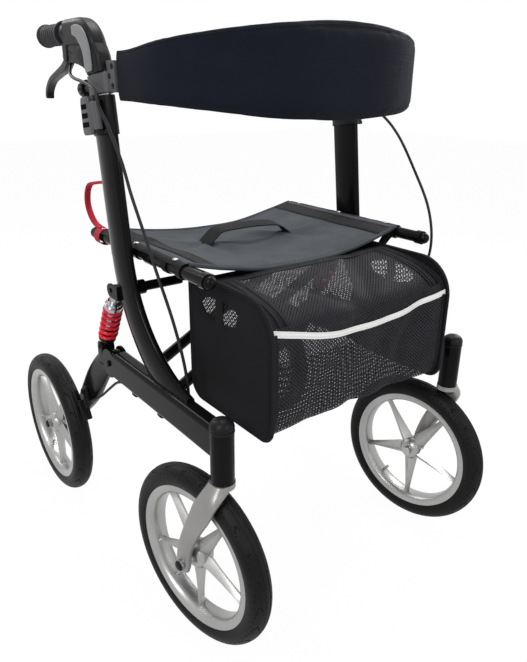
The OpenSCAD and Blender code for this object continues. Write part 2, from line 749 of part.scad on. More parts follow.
// Seat rail with domed ends, drawn on its own axis for the left side
module seat_rail() {
  pin_y(-rail_x, rail_z, rail_d, rail_from, rail_to);
  for (y = [rail_from, rail_to]) translate([-rail_x, y, rail_z]) sphere(d = rail_d);
  pin_y(-rail_x, rail_z, rail_d + 4, rail_from + 2, rail_from + 14);
}

// Sling between the rails, notched for what turns on them
module sling() {
  r = (rail_x * rail_x + seat_sag * seat_sag) / (2 * seat_sag);
  top = rail_z + rail_d / 2;
  wrap = rail_d / 2 + sling_t;
  loop_notch = loop_ring_d + 5;
  difference() {
    translate([0, seat_to, 0]) rotate([90, 0, 0]) linear_extrude(seat_to - seat_from) union() {
      intersection() {
        difference() {
          translate([0, top + sling_t - seat_sag + r]) circle(r, $fn = 360);
          translate([0, top + sling_t - seat_sag + r]) circle(r - sling_t, $fn = 360);
        }
        translate([-rail_x, top - 2 * seat_sag]) square([2 * rail_x, 2 * seat_sag + 2 * sling_t]);
      }
      for (s = [-1, 1]) translate([s * rail_x, rail_z]) difference() {
        circle(wrap);
        translate([-wrap, -2 * wrap]) square([2 * wrap, 2 * wrap]);
      }
    }
    for (s = [-1, 1]) {
      pin_y(s * rail_x, rail_z, rail_d, 0, wheelbase);
      for (y = hanger_y) pin_y(s * rail_x, rail_z, hanger_d + 2, y - hanger_w / 2 - 1, y + hanger_w / 2 + 1);
    }
    for (s = [-1, 1]) {
      n = brace_ring_w / 2 + 1;
      pin_y(-rail_x, rail_z, brace_ring_d + 2, brace_y + s * brace_step - n, brace_y + s * brace_step + n);
      pin_y(rail_x, rail_z, brace_ring_d + 2,
        brace_y + 2 * s * brace_step - n, brace_y + 2 * s * brace_step + n);
    }
    for (y = loop_y) pin_y(-rail_x, rail_z, loop_notch, y - loop_ring_w / 2 - 1, y + loop_ring_w / 2 + 1);
    pin_y(-rail_x, rail_z, loop_notch, loop_y[1], seat_to + 1);
  }
}

// Basket side panel with a hand hole, hung from its rail by two loops
panel_r = [14, 62, 26, 30];
hole_y = [72, 132];
hole_r = 16;
hole_drop = 42;
function corner(c, r, a) = [for (k = [0 : 8]) c + r * [cos(a + 90 * k / 8), sin(a + 90 * k / 8)]];
basket_side = concat(
  corner([basket_back - panel_r[0], basket_top - panel_r[0]], panel_r[0], 0),
  corner([basket_front + panel_r[1], basket_top - panel_r[1]], panel_r[1], 90),
  corner([basket_front + panel_r[2], basket_low + panel_r[2]], panel_r[2], 180),
  corner([basket_back - panel_r[3], basket_low + panel_r[3]], panel_r[3], 270));
module side_panel() {
  x0 = -basket_w / 2;
  difference() {
    plate(x0 - panel_t / 2, x0 + panel_t / 2) polygon(basket_side);
    plate(x0 - panel_t, x0 + panel_t) {
      for (y = hole_y) translate([y, basket_top - hole_drop]) circle(hole_r);
      translate([hole_y[0], basket_top - hole_drop - hole_r]) square([hole_y[1] - hole_y[0], 2 * hole_r]);
    }
  }
  for (y = hanger_y) difference() {
    union() {
      pin_y(-rail_x, rail_z, hanger_d, y - hanger_w / 2, y + hanger_w / 2);
      translate([-rail_x, y - hanger_w / 2, basket_top - mesh_t])
        cube([rail_x - basket_w / 2, hanger_w, rail_z - rail_d / 2 - basket_top + mesh_t + 1]);
    }
    pin_y(-rail_x, rail_z, rail_d, 0, wheelbase);
  }
}

// Front, floor, back and lid of the basket as one folded sheet
module mesh_body() {
  x1 = basket_w / 2 - panel_t / 2;
  t = mesh_t / 2;
  f = basket_front;
  b = basket_back;
  plate(-x1, x1) polygon(strip(curve([
    [b - 68, basket_top - 2, t], [b - 118, basket_top - 6, t], [f + 46, basket_top - 16, t],
    [f + 14, basket_top - 32, t], [f + 5, basket_top - 57, t], [f + 3, basket_top - 102, t],
    [f + 3, basket_low + 46, t], [f + 10, basket_low + 14, t], [f + 32, basket_low + 4, t],
    [(f + b) / 2 - 1, basket_low + 3, t], [b - 36, basket_low + 5, t], [b - 10, basket_low + 20, t],
    [b - 3, basket_low + 66, t], [b - 3, basket_top - 72, t], [b - 3, basket_top - 6, t]], 5)));
}

// Red lifting loop on the left rail
loop_route = [
  [-229, 425, 603], [-229, 440, 604], [-229, 458, 609], [-229, 474, 622], [-229, 482, 640],
  [-229, 478, 660], [-229, 464, 675], [-229, 440, 681], [-229, 400, 687], [-229, 372, 688],
  [-229, 355, 676], [-229, 350, 650], [-229, 350, 620], [-229, 350, 603]
];
module lift_loop() {
  shift = [229 - rail_x, loop_y[1] - 425, rail_z - 590];
  difference() {
    union() {
      cord(curve([for (q = loop_route) q + shift], 2), loop_d, 10, [1, 0, 0]);
      for (y = loop_y) pin_y(-rail_x, rail_z, loop_ring_d, y - loop_ring_w / 2, y + loop_ring_w / 2);
    }
    pin_y(-rail_x, rail_z, rail_d + 2 * run_gap, 0, wheelbase);
  }
}

// Backrest band: a padded strap bowed forward between the two brackets
module band() {
  sides = 20;
  steps = 40;
  rings = [for (i = [0 : steps])
    let (a = 180 * i / steps, x = -band_end_x * bulge(cos(a), 2 / band_power),
      y = band_end_y - band_bow * bulge(sin(a), 2 / band_power),
      b = a + 0.5, c = a - 0.5,
      t = unit([-band_end_x * (bulge(cos(b), 2 / band_power) - bulge(cos(c), 2 / band_power)),
        -band_bow * (bulge(sin(b), 2 / band_power) - bulge(sin(c), 2 / band_power))]),
      e = abs(x) / band_end_x,
      half = band_h / 2 * (1 - 0.36 * pow(e, 1.7) - 0.28 * pow(e, 30)),
      thick = band_t / 2 * (1 - 0.3 * pow(e, 10)),
      mid = band_mid_z - 4 * e * e - 4 * pow(e, 30))
    [for (j = [0 : sides - 1])
      let (g = 360 * j / sides, u = thick * bulge(cos(g), 0.6), v = half * bulge(sin(g), 0.25))
      [x - t[1] * u, y + t[0] * u, mid + v]]];
  skin([for (r = rings) [for (j = [sides - 1 : -1 : 0]) r[j]]]);
}

// Brake cables from lever to brake shoe, by route points chosen by eye
cable_d = 5;
cable_low = [
  [18, 118, 380], [14, 128, 352], [2, 146, 347.5], [0, 185, 347.5], [0, 250, 347.5], [0, 305, 347],
  [-1, 338, 338], [-4, 368, 315], [-8, 400, 288], [-11, 430, 268], [-14, 448, 256]
];
cable_left = [
  [2, 418, 871], [-9, 399, 858], [-15, 374, 851], [-16, 342, 846], [-17, 312, 841], [-19, 284, 831],
  [-20, 275, 812], [-14, 264, 786], [-5, 246, 738], [-1, 229, 690], [4, 208, 640],
  [9, 184, 583], [15, 150, 510], [18.5, 126, 440]
];
cable_right = [
  [2, 418, 871], [14, 392, 856], [25, 352, 846], [25.5, 318, 836], [21, 290, 820],
  [8, 262, 806], [-3, 224, 795], [-9, 182, 760], [-11, 138, 702], [-10, 94, 634],
  [-6, 77, 567], [7, 86, 500], [17, 110, 430]
];
module cable(upper) cord(curve(concat(upper, cable_low), 3), cable_d, 8, [1, 0.2, 0.1]);

// One module for each piece in its place
module left_lower_beam() color(gloss_black) left() lower_beam();
module right_lower_beam() color(gloss_black) right() lower_beam();
module left_upright() color(gloss_black) left() upright();
module right_upright() color(gloss_black) right() upright();
module left_head_cap() color(matt_black) left() head_cap();
module right_head_cap() color(matt_black) right() head_cap();
module left_height_collar() color(matt_black) left_post() height_collar();
module right_height_collar() color(matt_black) right_post() height_collar();
module left_height_lock() color(grey) left_post() height_lock();
module right_height_lock() color(grey) right_post() height_lock();
module left_handle_post() color(silver) left_post() handle_post();
module right_handle_post() color(silver) right_post() handle_post();
module left_handle_housing() color(matt_black) left_post() handle_housing();
module right_handle_housing() color(matt_black) right_post() handle_housing();
module left_handle_cover() color(grey) left_post() handle_cover();
module right_handle_cover() color(grey) right_post() handle_cover();
module left_grip() color(rubber) left_post() grip();
module right_grip() color(rubber) right_post() grip();
module left_backrest_bracket() color(grey) left_post() backrest_bracket();
module right_backrest_bracket() color(grey) right_post() backrest_bracket();
module left_brake_lever() color(gloss_black) left_post() brake_lever();
module right_brake_lever() color(gloss_black) right_post() brake_lever();
module left_fork() color(silver) left_caster() fork();
module right_fork() color(silver) right_caster() fork();
module left_front_axle() color(grey) left_caster() front_axle();
module right_front_axle() color(grey) right_caster() front_axle();
module left_front_rim() color(silver) left_caster() at_front_axle() rim(axle_d, 0);
module right_front_rim() color(silver) right_caster() at_front_axle() rim(axle_d, 0);
module left_front_tyre() color(rubber) left_caster() at_front_axle() tyre();
module right_front_tyre() color(rubber) right_caster() at_front_axle() tyre();
module left_swing_arm() color(gloss_black) left() swing_arm();
module right_swing_arm() color(gloss_black) right() swing_arm();
module left_rear_axle() color(grey) left() rear_axle();
module right_rear_axle() color(grey) right() rear_axle();
module left_rear_rim() color(silver) left() at_rear_axle() rim(rear_axle_d, 0);
module right_rear_rim() color(silver) right() at_rear_axle() rim(rear_axle_d, 0);
module left_rear_tyre() color(rubber) left() at_rear_axle() tyre();
module right_rear_tyre() color(rubber) right() at_rear_axle() tyre();
module left_brake_shoe() color(matt_black) left() brake_shoe();
module right_brake_shoe() color(matt_black) right() brake_shoe();
module left_shock_body() color(silver) left() shock_body();
module right_shock_body() color(silver) right() shock_body();
module left_shock_rod() color(matt_black) left() shock_rod();
module right_shock_rod() color(matt_black) right() shock_rod();
module left_spring() color(red) left() spring();
module right_spring() color(red) right() spring();
module left_brake_cable() color(rubber) left() cable(cable_left);
module right_brake_cable() color(rubber) right() cable(cable_right);
module cross_brace_a() color(gloss_black) middle() brace(2 * brace_step);
module cross_brace_b() color(gloss_black) middle() mirror([1, 0, 0]) brace(brace_step);
module cross_bolt() color(silver) middle() bolt();
module left_seat_rail() color(gloss_black) middle() seat_rail();
module right_seat_rail() color(gloss_black) middle() mirror([1, 0, 0]) seat_rail();
module seat_sling() color(slate) middle() sling();
module basket_left_panel() color(rubber) middle() side_panel();
module basket_right_panel() color(rubber) middle() mirror([1, 0, 0]) side_panel();
module basket_mesh() color(matt_black) middle() mesh_body();
module fold_loop() color(red) middle() lift_loop();
module backrest_band() color(navy) middle() band();

left_lower_beam();
right_lower_beam();
left_upright();
right_upright();
left_head_cap();
right_head_cap();
left_height_collar();
right_height_collar();
left_height_lock();
right_height_lock();
left_handle_post();
right_handle_post();
left_handle_housing();
right_handle_housing();
left_handle_cover();
right_handle_cover();
left_grip();
right_grip();
left_backrest_bracket();
right_backrest_bracket();
left_brake_lever();
right_brake_lever();
left_fork();
right_fork();
left_front_axle();
right_front_axle();
left_front_rim();
right_front_rim();
left_front_tyre();
right_front_tyre();
left_swing_arm();
right_swing_arm();
left_rear_axle();
right_rear_axle();
left_rear_rim();
right_rear_rim();
left_rear_tyre();
right_rear_tyre();
left_brake_shoe();
right_brake_shoe();
left_shock_body();
right_shock_body();
left_shock_rod();
right_shock_rod();
left_spring();
right_spring();
left_brake_cable();
right_brake_cable();
cross_brace_a();
cross_brace_b();
cross_bolt();
left_seat_rail();
right_seat_rail();
seat_sling();
basket_left_panel();
basket_right_panel();
basket_mesh();
fold_loop();
backrest_band();
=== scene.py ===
"""Looks of an all terrain rollator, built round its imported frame.

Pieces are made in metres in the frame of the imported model. Points are written in millimetres,
with y counted from the steering axis, and at() brings them into the frame.
"""

from __future__ import annotations

import logging
import math
from collections.abc import Callable, Iterable, Sequence
from dataclasses import dataclass, field
from enum import Enum

import bmesh
import bpy
import numpy as np
from mathutils import Matrix, Vector, kdtree, noise


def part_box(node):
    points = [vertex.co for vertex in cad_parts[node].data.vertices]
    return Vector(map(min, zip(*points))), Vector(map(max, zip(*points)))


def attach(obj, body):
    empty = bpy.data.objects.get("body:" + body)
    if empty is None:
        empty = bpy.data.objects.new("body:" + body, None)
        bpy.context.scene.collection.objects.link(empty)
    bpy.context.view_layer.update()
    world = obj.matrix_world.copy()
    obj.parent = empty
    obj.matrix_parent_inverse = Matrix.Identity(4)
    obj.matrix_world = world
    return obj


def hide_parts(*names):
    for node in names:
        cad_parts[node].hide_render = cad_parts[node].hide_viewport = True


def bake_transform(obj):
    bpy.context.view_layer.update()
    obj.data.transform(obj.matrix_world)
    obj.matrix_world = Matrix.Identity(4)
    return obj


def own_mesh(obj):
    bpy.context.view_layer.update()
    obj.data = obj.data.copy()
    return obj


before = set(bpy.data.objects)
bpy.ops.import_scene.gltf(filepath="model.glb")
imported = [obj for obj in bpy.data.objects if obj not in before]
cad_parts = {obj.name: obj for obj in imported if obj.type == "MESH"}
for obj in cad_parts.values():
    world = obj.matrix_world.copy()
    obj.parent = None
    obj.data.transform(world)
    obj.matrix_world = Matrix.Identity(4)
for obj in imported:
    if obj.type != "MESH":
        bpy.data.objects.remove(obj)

LOG = logging.getLogger("rollator")
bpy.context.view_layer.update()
MM = 0.001
STEER_Y = -326.86
UV_NAME = "cloth"
ALL_SMOOTH = 180.0

Point = tuple[float, float, float]


def at(x: float, y: float, z: float) -> Vector:
    """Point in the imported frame, from millimetres with y behind the steering axis."""
    return Vector((x, y + STEER_Y, z)) * MM


class Side(Enum):
    """The two sides of the frame, with the sign of X on each."""

    LEFT = -1
    RIGHT = 1

    @property
    def word(self) -> str:
        """Name as the nodes and bodies write it."""
        return self.name.lower()

    def node(self, name: str) -> str:
        """Full name of this side's node or body."""
        return f"{self.word}_{name}"


def smooth(points: Sequence[Sequence[float]], n: int) -> list[tuple[float, ...]]:
    """Catmull-Rom curve through points of any dimension.

    Args:
        points: Points to pass through.
        n: Steps between neighbours.

    Returns:
        Points of the curve, ends included.
    """
    p = [np.array(q, float) for q in points]
    out = []
    for i in range(len(p) - 1):
        a, b, c, d = p[max(i - 1, 0)], p[i], p[i + 1], p[min(i + 2, len(p) - 1)]
        for k in range(n):
            t = k / n
            out.append(0.5 * (2 * b + (c - a) * t + (2 * a - 5 * b + 4 * c - d) * t * t
                              + (3 * b - a - 3 * c + d) * t ** 3))
    return [tuple(float(v) for v in q) for q in (*out, p[-1])]


def swell(value: float, power: float) -> float:
    """Signed power: rounds a circle towards a square when power is under 1."""
    return math.copysign(abs(value) ** power, value)


def clamp(value: float) -> float:
    """The value held between 0 and 1."""
    return min(max(value, 0.0), 1.0)


def smoothstep(share: float) -> float:
    """A share from 0 to 1 that starts and ends gently."""
    return share * share * (3 - 2 * share)


def oval_ring(n: int, half_a: float, half_b: float, power: float = 1.0) -> list[tuple[float, float]]:
    """Points of a soft oval, counter-clockwise in its own plane."""
    turn = [math.tau * i / n for i in range(n)]
    return [(half_a * swell(math.cos(t), power), half_b * swell(math.sin(t), power)) for t in turn]


@dataclass
class Shape:
    """A mesh under construction, in metres, with a UV per corner where cloth needs one."""

    points: list[Vector] = field(default_factory=list)
    faces: list[tuple[int, ...]] = field(default_factory=list)
    uvs: list[list[tuple[float, float]]] = field(default_factory=list)

    def add(self, other: Shape) -> Shape:
        """Takes in another shape and returns self.

        Args:
            other: The shape to take in.

        Returns:
            This shape.
        """
        base = len(self.points)
        self.points += other.points
        self.faces += [tuple(base + i for i in f) for f in other.faces]
        self.uvs += other.uvs
        return self

    def moved(self, matrix: Matrix) -> Shape:
        """A copy under a matrix; a mirroring one turns the faces over, so they still point out.

        Args:
            matrix: The move.

        Returns:
            The copy.
        """
        flip = matrix.determinant() < 0
        faces = [tuple(reversed(f)) if flip else f for f in self.faces]
        uvs = [list(reversed(u)) if flip else u for u in self.uvs]
        return Shape([matrix @ p for p in self.points], faces, uvs)

    def for_side(self, side: Side) -> Shape:
        """The shape as drawn for the left side, or its mirror image for the right."""
        return self if side is Side.LEFT else self.moved(Matrix.Diagonal((-1, 1, 1, 1)))

    def to_mesh(self, name: str) -> bpy.types.Mesh:
        """Blender mesh of the shape, with its UVs where every face has them.

        Args:
            name: The mesh's name.

        Returns:
            The mesh.
        """
        mesh = bpy.data.meshes.new(name)
        mesh.from_pydata([tuple(p) for p in self.points], [], self.faces)
        if self.uvs and len(self.uvs) == len(self.faces):
            layer = mesh.uv_layers.new(name=UV_NAME)
            layer.data.foreach_set("uv", [c for u in self.uvs for pair in u for c in pair])
        mesh.validate()
        return mesh


def skin(rings: Sequence[Sequence[Vector]], closed: bool = False, caps: bool = True, turn: bool = False) -> Shape:
    """Rings of equal length joined into a tube.

    Args:
        rings: Rings of points, each going round the same way.
        closed: Join the last ring to the first.
        caps: Close the two ends with a fan round a middle point.
        turn: Turn every face over.

    Returns:
        The tube, with UVs in metres along and round it.
    """
    m, n = len(rings[0]), len(rings)
    s = Shape([p for r in rings for p in r])
    along = [0.0]
    for i in range(n if closed else n - 1):
        a, b = rings[i], rings[(i + 1) % n]
        along.append(along[-1] + sum((q - p).length for p, q in zip(a, b)) / m)
    for i in range(n if closed else n - 1):
        k, r = (i + 1) % n, rings[i]
        girth = sum((r[(j + 1) % m] - r[j]).length for j in range(m)) / m
        for j in range(m):
            h = (j + 1) % m
            s.faces.append((i * m + j, i * m + h, k * m + h, k * m + j))
            lo, hi = j * girth, (j + 1) * girth
            s.uvs.append([(along[i], lo), (along[i], hi), (along[i + 1], hi), (along[i + 1], lo)])
    if caps and not closed:
        for first, order in ((0, -1), ((n - 1) * m, 1)):
            ring = [first + j for j in range(m)][::order]
            s.points.append(sum((s.points[i] for i in ring), Vector()) / m)
            for j in range(m):
                s.faces.append((ring[j], ring[(j + 1) % m], len(s.points) - 1))
                s.uvs.append([(0.0, 0.0)] * 3)
    if turn:
        s.faces = [tuple(reversed(f)) for f in s.faces]
        s.uvs = [list(reversed(u)) for u in s.uvs]
    return s


def sweep(path: Sequence[Vector], section: Callable[[float], list[tuple[float, float]]],
          side_hint: Vector, closed: bool = False, caps: bool = True) -> Shape:
    """A section carried along a path without twisting.

    Args:
        path: Points of the path.
        section: Gives the section's (across, up) points for a share 0 to 1 of the way.
        side_hint: Direction that the section's first axis starts near.
        closed: The path is a loop.
        caps: Close the ends.

    Returns:
        The swept shape.
    """
    n = len(path)
    rings, side = [], side_hint
    for i, p in enumerate(path):
        before, after = (path[i - 1], path[(i + 1) % n]) if closed else (path[max(i - 1, 0)], path[min(i + 1, n - 1)])
        t = (after - before).normalized()
        side = (side - t * side.dot(t)).normalized()
        up = t.cross(side)
        rings.append([p + side * a + up * b for a, b in section(i / max(n - 1, 1))])
    return skin(rings, closed, caps)


def round_wire(path: Sequence[Vector], diameter: float, sides: int, side_hint: Point = (1, 0.2, 0.1),
               closed: bool = False) -> Shape:
    """A round wire along a path, its diameter in metres."""
    ring = oval_ring(sides, diameter / 2, diameter / 2)
    return sweep(path, lambda _: ring, Vector(side_hint), closed)


def flat_tape(path: Sequence[Vector], width: float, thick: float, across: Vector, closed: bool = False) -> Shape:
    """Flat webbing along a path, its width lying along a direction."""
    ring = oval_ring(16, width / 2, thick / 2, 0.35)
    return sweep(path, lambda _: ring, across, closed)


def lathe(profile: Sequence[tuple[float, float]], steps: int, loop: bool = False) -> Shape:
    """A profile of (radius, height) in millimetres turned about Z, outside to the profile's right.

    Args:
        profile: Points from the bottom up; a radius of 0 closes an end.
        steps: Faces round the axis.
        loop: The profile closes on itself, as a ring's does.

    Returns:
        The turned shape in metres.
    """
    spin = [(math.cos(math.tau * k / steps), math.sin(math.tau * k / steps)) for k in range(steps)]
    rings = [[Vector((r * c, r * s, h)) * MM for c, s in spin] for r, h in profile]
    return skin(rings, closed=loop, caps=not loop)


def cushion_grid(rows: Sequence[Sequence[Vector]], flat: tuple[float, float]) -> Shape:
    """An open sheet through rows of points, with UVs over its flat size in metres.

    Args:
        rows: Rows of points, all of one length.
        flat: Flat width and length.

    Returns:
        The sheet.
    """
    n, m = len(rows), len(rows[0])
    s = Shape([p for r in rows for p in r])
    for i in range(n - 1):
        for j in range(m - 1):
            s.faces.append((i * m + j, i * m + j + 1, (i + 1) * m + j + 1, (i + 1) * m + j))
            s.uvs.append([((j + b) / (m - 1) * flat[0], (i + a) / (n - 1) * flat[1])
                          for a, b in ((0, 0), (0, 1), (1, 1), (1, 0))])
    return s


class Sock:
    """A node socket whose sums and products add Math nodes to its graph."""

    def __init__(self, graph: Graph, socket: bpy.types.NodeSocket) -> None:
        """Wraps one output of a node in a graph."""
        self.graph, self.socket = graph, socket

    def _math(self, operation: str, *values: Sock | float) -> Sock:
        """A Math node of these values."""
        return self.graph.node("ShaderNodeMath", {"operation": operation}, dict(enumerate(values)))

    def __add__(self, other: Sock | float) -> Sock:
        """Sum."""
        return self._math("ADD", self, other)

    __radd__ = __add__

    def __sub__(self, other: Sock | float) -> Sock:
        """Difference."""
        return self._math("SUBTRACT", self, other)

    def __rsub__(self, other: Sock | float) -> Sock:
        """Difference from a number."""
        return self._math("SUBTRACT", other, self)

    def __mul__(self, other: Sock | float) -> Sock:
        """Product."""
        return self._math("MULTIPLY", self, other)

    def wave(self, pitch: float) -> Sock:
        """Sine of this length over a pitch."""
        return self._math("SINE", self * (math.tau / pitch))

    def size(self) -> Sock:
        """Value without its sign."""
        return self._math("ABSOLUTE", self)

    def most(self, other: Sock) -> Sock:
        """The larger of two values."""
        return self._math("MAXIMUM", self, other)

    def ramp(self, low: float, high: float) -> Sock:
        """0 at low, 1 at high, smooth between."""
        return self.graph.node("ShaderNodeMapRange", {"interpolation_type": "SMOOTHSTEP"},
                               {"Value": self, "From Min": low, "From Max": high})


class Graph:
    """A node tree with one method for any node."""

    def __init__(self, tree: bpy.types.NodeTree) -> None:
        """Holds the tree."""
        self.tree = tree

    def node(self, kind: str, settings: dict | None = None, inputs: dict | None = None,
             out: int | str = 0) -> Sock:
        """Adds a node.

        Args:
            kind: Blender's type name.
            settings: Attributes that are set first.
            inputs: Values or sockets by input name or number.
            out: Which output to return.

        Returns:
            The wrapped output.
        """
        made = self.tree.nodes.new(kind)
        for key, value in (settings or {}).items():
            setattr(made, key, value)
        for key, value in (inputs or {}).items():
            self.join(made.inputs[key], value)
        return Sock(self, made.outputs[out]) if len(made.outputs) else None

    def join(self, socket: bpy.types.NodeSocket, value: object) -> None:
        """Links a wrapped socket to an input, or sets its value.

        Args:
            socket: The input.
            value: A wrapped socket or a plain value.
        """
        if isinstance(value, Sock):
            self.tree.links.new(value.socket, socket)
        else:
            socket.default_value = value

    def mix(self, share: Sock, a: Sequence[float] | Sock, b: Sequence[float] | Sock) -> Sock:
        """Colour between a and b.

        Args:
            share: 0 for a, 1 for b.
            a: First colour.
            b: Second colour.

        Returns:
            The mixed colour.
        """
        made = self.tree.nodes.new("ShaderNodeMix")
        made.data_type = "RGBA"
        for i, v in ((0, share), (6, a), (7, b)):
            self.join(made.inputs[i], (*v, 1.0) if isinstance(v, tuple) else v)
        return Sock(self, made.outputs[2])

    def coords(self) -> Sock:
        """Object coordinates, in metres."""
        return self.node("ShaderNodeTexCoord", out="Object")

    def noise(self, scale: float, detail: float = 3.0, vector: Sock | None = None) -> Sock:
        """Noise from 0 to 1 at a scale per metre."""
        where = vector or self.coords()
        return self.node("ShaderNodeTexNoise", None, {"Vector": where, "Scale": scale, "Detail": detail})

    def bump(self, height: Sock, distance: float, strength: float = 1.0) -> Sock:
        """Normal from a height whose whole range is a distance in metres."""
        return self.node("ShaderNodeBump", None, {"Height": height, "Distance": distance, "Strength": strength})

    def uv(self) -> tuple[Sock, Sock]:
        """The cloth's own coordinates in metres: along and across."""
        split = self.node("ShaderNodeSeparateXYZ", None, {0: self.node("ShaderNodeUVMap", {"uv_map": UV_NAME})})
        return split, Sock(self, split.socket.node.outputs[1])


Colour = tuple[float, float, float]


@dataclass(frozen=True)
class Finish:
    """A finish with its name and colour; each kind draws its own nodes."""

    name: str
    colour: Colour
    roughness: float = 0.4

    def material(self) -> bpy.types.Material:
        """The Blender material, made once.

        Returns:
            The material.
        """
        found = bpy.data.materials.get(self.name)
        if found:
            return found
        made = bpy.data.materials.new(self.name)
        made.use_nodes = True
        made.node_tree.nodes.clear()
        made.diffuse_color = (*self.colour, 1)
        graph = Graph(made.node_tree)
        shader = graph.node("ShaderNodeBsdfPrincipled", None, self.sockets(graph))
        graph.node("ShaderNodeOutputMaterial", None, {"Surface": shader})
        return made

    def sockets(self, g: Graph) -> dict:
        """Values and links of the shader's inputs."""
        return {"Base Color": (*self.colour, 1), "Roughness": self.roughness}

    def shade(self, factor: float) -> Colour:
        """The finish's colour made lighter or darker."""
        return tuple(min(c * factor, 1.0) for c in self.colour)


@dataclass(frozen=True)
class Paint(Finish):
    """Gloss coat on metal, with faint peel and dust."""

    coat: float = 0.1
    gloss: float = 0.2

    def sockets(self, g: Graph) -> dict:
        """Values and links of the shader's inputs.

        Args:
            g: Graph that takes the nodes.

        Returns:
            The inputs by name.
        """
        cloud, peel, dust = g.noise(9), g.noise(420, 2), g.noise(2600, 1)
        return {"Base Color": g.mix(cloud.ramp(0.35, 0.75), self.colour, self.shade(1.6)),
                "Roughness": self.roughness + cloud * 0.08 + dust * 0.05, "Specular IOR Level": self.gloss,
                "Coat Weight": self.coat, "Coat Roughness": 0.08,
                "Normal": g.bump(peel, 0.00012, 0.35)}


@dataclass(frozen=True)
class Moulded(Finish):
    """Moulded plastic or rubber with a spark eroded grain."""

    grain: float = 1500
    depth: float = 0.00006
    bloom: float = 1.5
    gloss: float = 0.2

    def sockets(self, g: Graph) -> dict:
        """Values and links of the shader's inputs.

        Args:
            g: Graph that takes the nodes.

        Returns:
            The inputs by name.
        """
        fine, cloud = g.noise(self.grain, 2), g.noise(26, 4)
        return {"Base Color": g.mix(cloud.ramp(0.4, 0.8), self.colour, self.shade(self.bloom)),
                "Roughness": self.roughness + cloud * 0.12 - fine * 0.06, "Specular IOR Level": self.gloss,
                "Normal": g.bump(fine, self.depth, 0.6)}


@dataclass(frozen=True)
class Metal(Finish):
    """Bare or silvered metal with a grain: cast where it is coarse, brushed where it is stretched."""

    grain: float = 900
    stretch: float = 1.0
    metallic: float = 1.0
    depth: float = 0.00002

    def sockets(self, g: Graph) -> dict:
        """Values and links of the shader's inputs.

        Args:
            g: Graph that takes the nodes.

        Returns:
            The inputs by name.
        """
        where = g.node("ShaderNodeMapping", None, {"Vector": g.coords(), "Scale": (1, 1, self.stretch)})
        fine, cloud = g.noise(self.grain, 3, where), g.noise(14, 3)
        return {"Base Color": g.mix(cloud.ramp(0.3, 0.8), self.colour, self.shade(0.86)),
                "Metallic": self.metallic, "Roughness": self.roughness + fine * 0.12 + cloud * 0.06 - 0.08,
                "Normal": g.bump(fine, self.depth, 0.3)}


@dataclass(frozen=True)
class Tread(Finish):
    """Tyre rubber: dull, with dusty patches and faint moulding."""

    def sockets(self, g: Graph) -> dict:
        """Values and links of the shader's inputs.

        Args:
            g: Graph that takes the nodes.

        Returns:
            The inputs by name.
        """
        dust, fine = g.noise(18, 5), g.noise(900, 3)
        return {"Base Color": g.mix(dust.ramp(0.45, 0.85), self.colour, (0.011, 0.0105, 0.010)),
                "Roughness": self.roughness + dust * 0.2 - 0.1, "Specular IOR Level": 0.12,
                "Normal": g.bump(fine, 0.0001, 0.5)}


@dataclass(frozen=True)
class Woven(Finish):
    """Plain weave on the cloth's own coordinates."""

    pitch: float = 0.0016
    second: float = 0.6
    sheen: float = 0.03
    depth: float = 0.00025

    def sockets(self, g: Graph) -> dict:
        """Values and links of the shader's inputs.

        Args:
            g: Graph that takes the nodes.

        Returns:
            The inputs by name.
        """
        u, v = g.uv()
        warp, weft = u.wave(self.pitch), v.wave(self.pitch)
        over = (warp * weft).ramp(-0.3, 0.3)
        height = over * warp.size() + (1 - over) * weft.size()
        cloud = g.noise(30, 4)
        thread = g.mix(over, self.colour, self.shade(self.second))
        return {"Base Color": g.mix(cloud.ramp(0.3, 0.8) * 0.5, thread, self.shade(1.35)),
                "Roughness": self.roughness + cloud * 0.1, "Specular IOR Level": 0.07,
                "Sheen Weight": self.sheen, "Sheen Roughness": 0.5,
                "Normal": g.bump(height, self.depth, 0.7)}


@dataclass(frozen=True)
class Net(Finish):
    """Knitted net whose holes lie in staggered rows."""

    pitch: float = 0.0062
    hole: float = 0.7

    def sockets(self, g: Graph) -> dict:
        """Values and links of the shader's inputs.

        Args:
            g: Graph that takes the nodes.

        Returns:
            The inputs by name.
        """
        u, v = g.uv()
        hole = (u + v).wave(self.pitch * 2) * (u - v).wave(self.pitch * 2)
        solid = 1 - hole.size().ramp(self.hole - 0.12, self.hole + 0.12)
        cloud = g.noise(24, 3)
        solid = solid.most(g.noise(9, 2).ramp(0.56, 0.72) * 0.75)
        return {"Base Color": g.mix(cloud, self.colour, self.shade(2.2)), "Roughness": self.roughness,
                "Specular IOR Level": 0.08, "Alpha": solid,
                "Normal": g.bump(solid, 0.0003, 0.6)}


@dataclass(frozen=True)
class Webbing(Finish):
    """Ribbed tape, its ribs across the length, with painted shade in the grooves between them."""

    pitch: float = 0.0018

    def sockets(self, g: Graph) -> dict:
        """Values and links of the shader's inputs.

        Args:
            g: Graph that takes the nodes.

        Returns:
            The inputs by name.
        """
        u, v = g.uv()
        rib = (u + v.wave(self.pitch * 2) * (self.pitch * 0.25)).wave(self.pitch).size()
        cloud = g.noise(60, 3)
        # the grooves between ribs get a darker colour: painted shade
        return {"Base Color": g.mix(rib, self.shade(0.55), self.colour), "Roughness": self.roughness + cloud * 0.1,
                "Specular IOR Level": 0.12, "Normal": g.bump(rib, 0.0004, 0.7)}


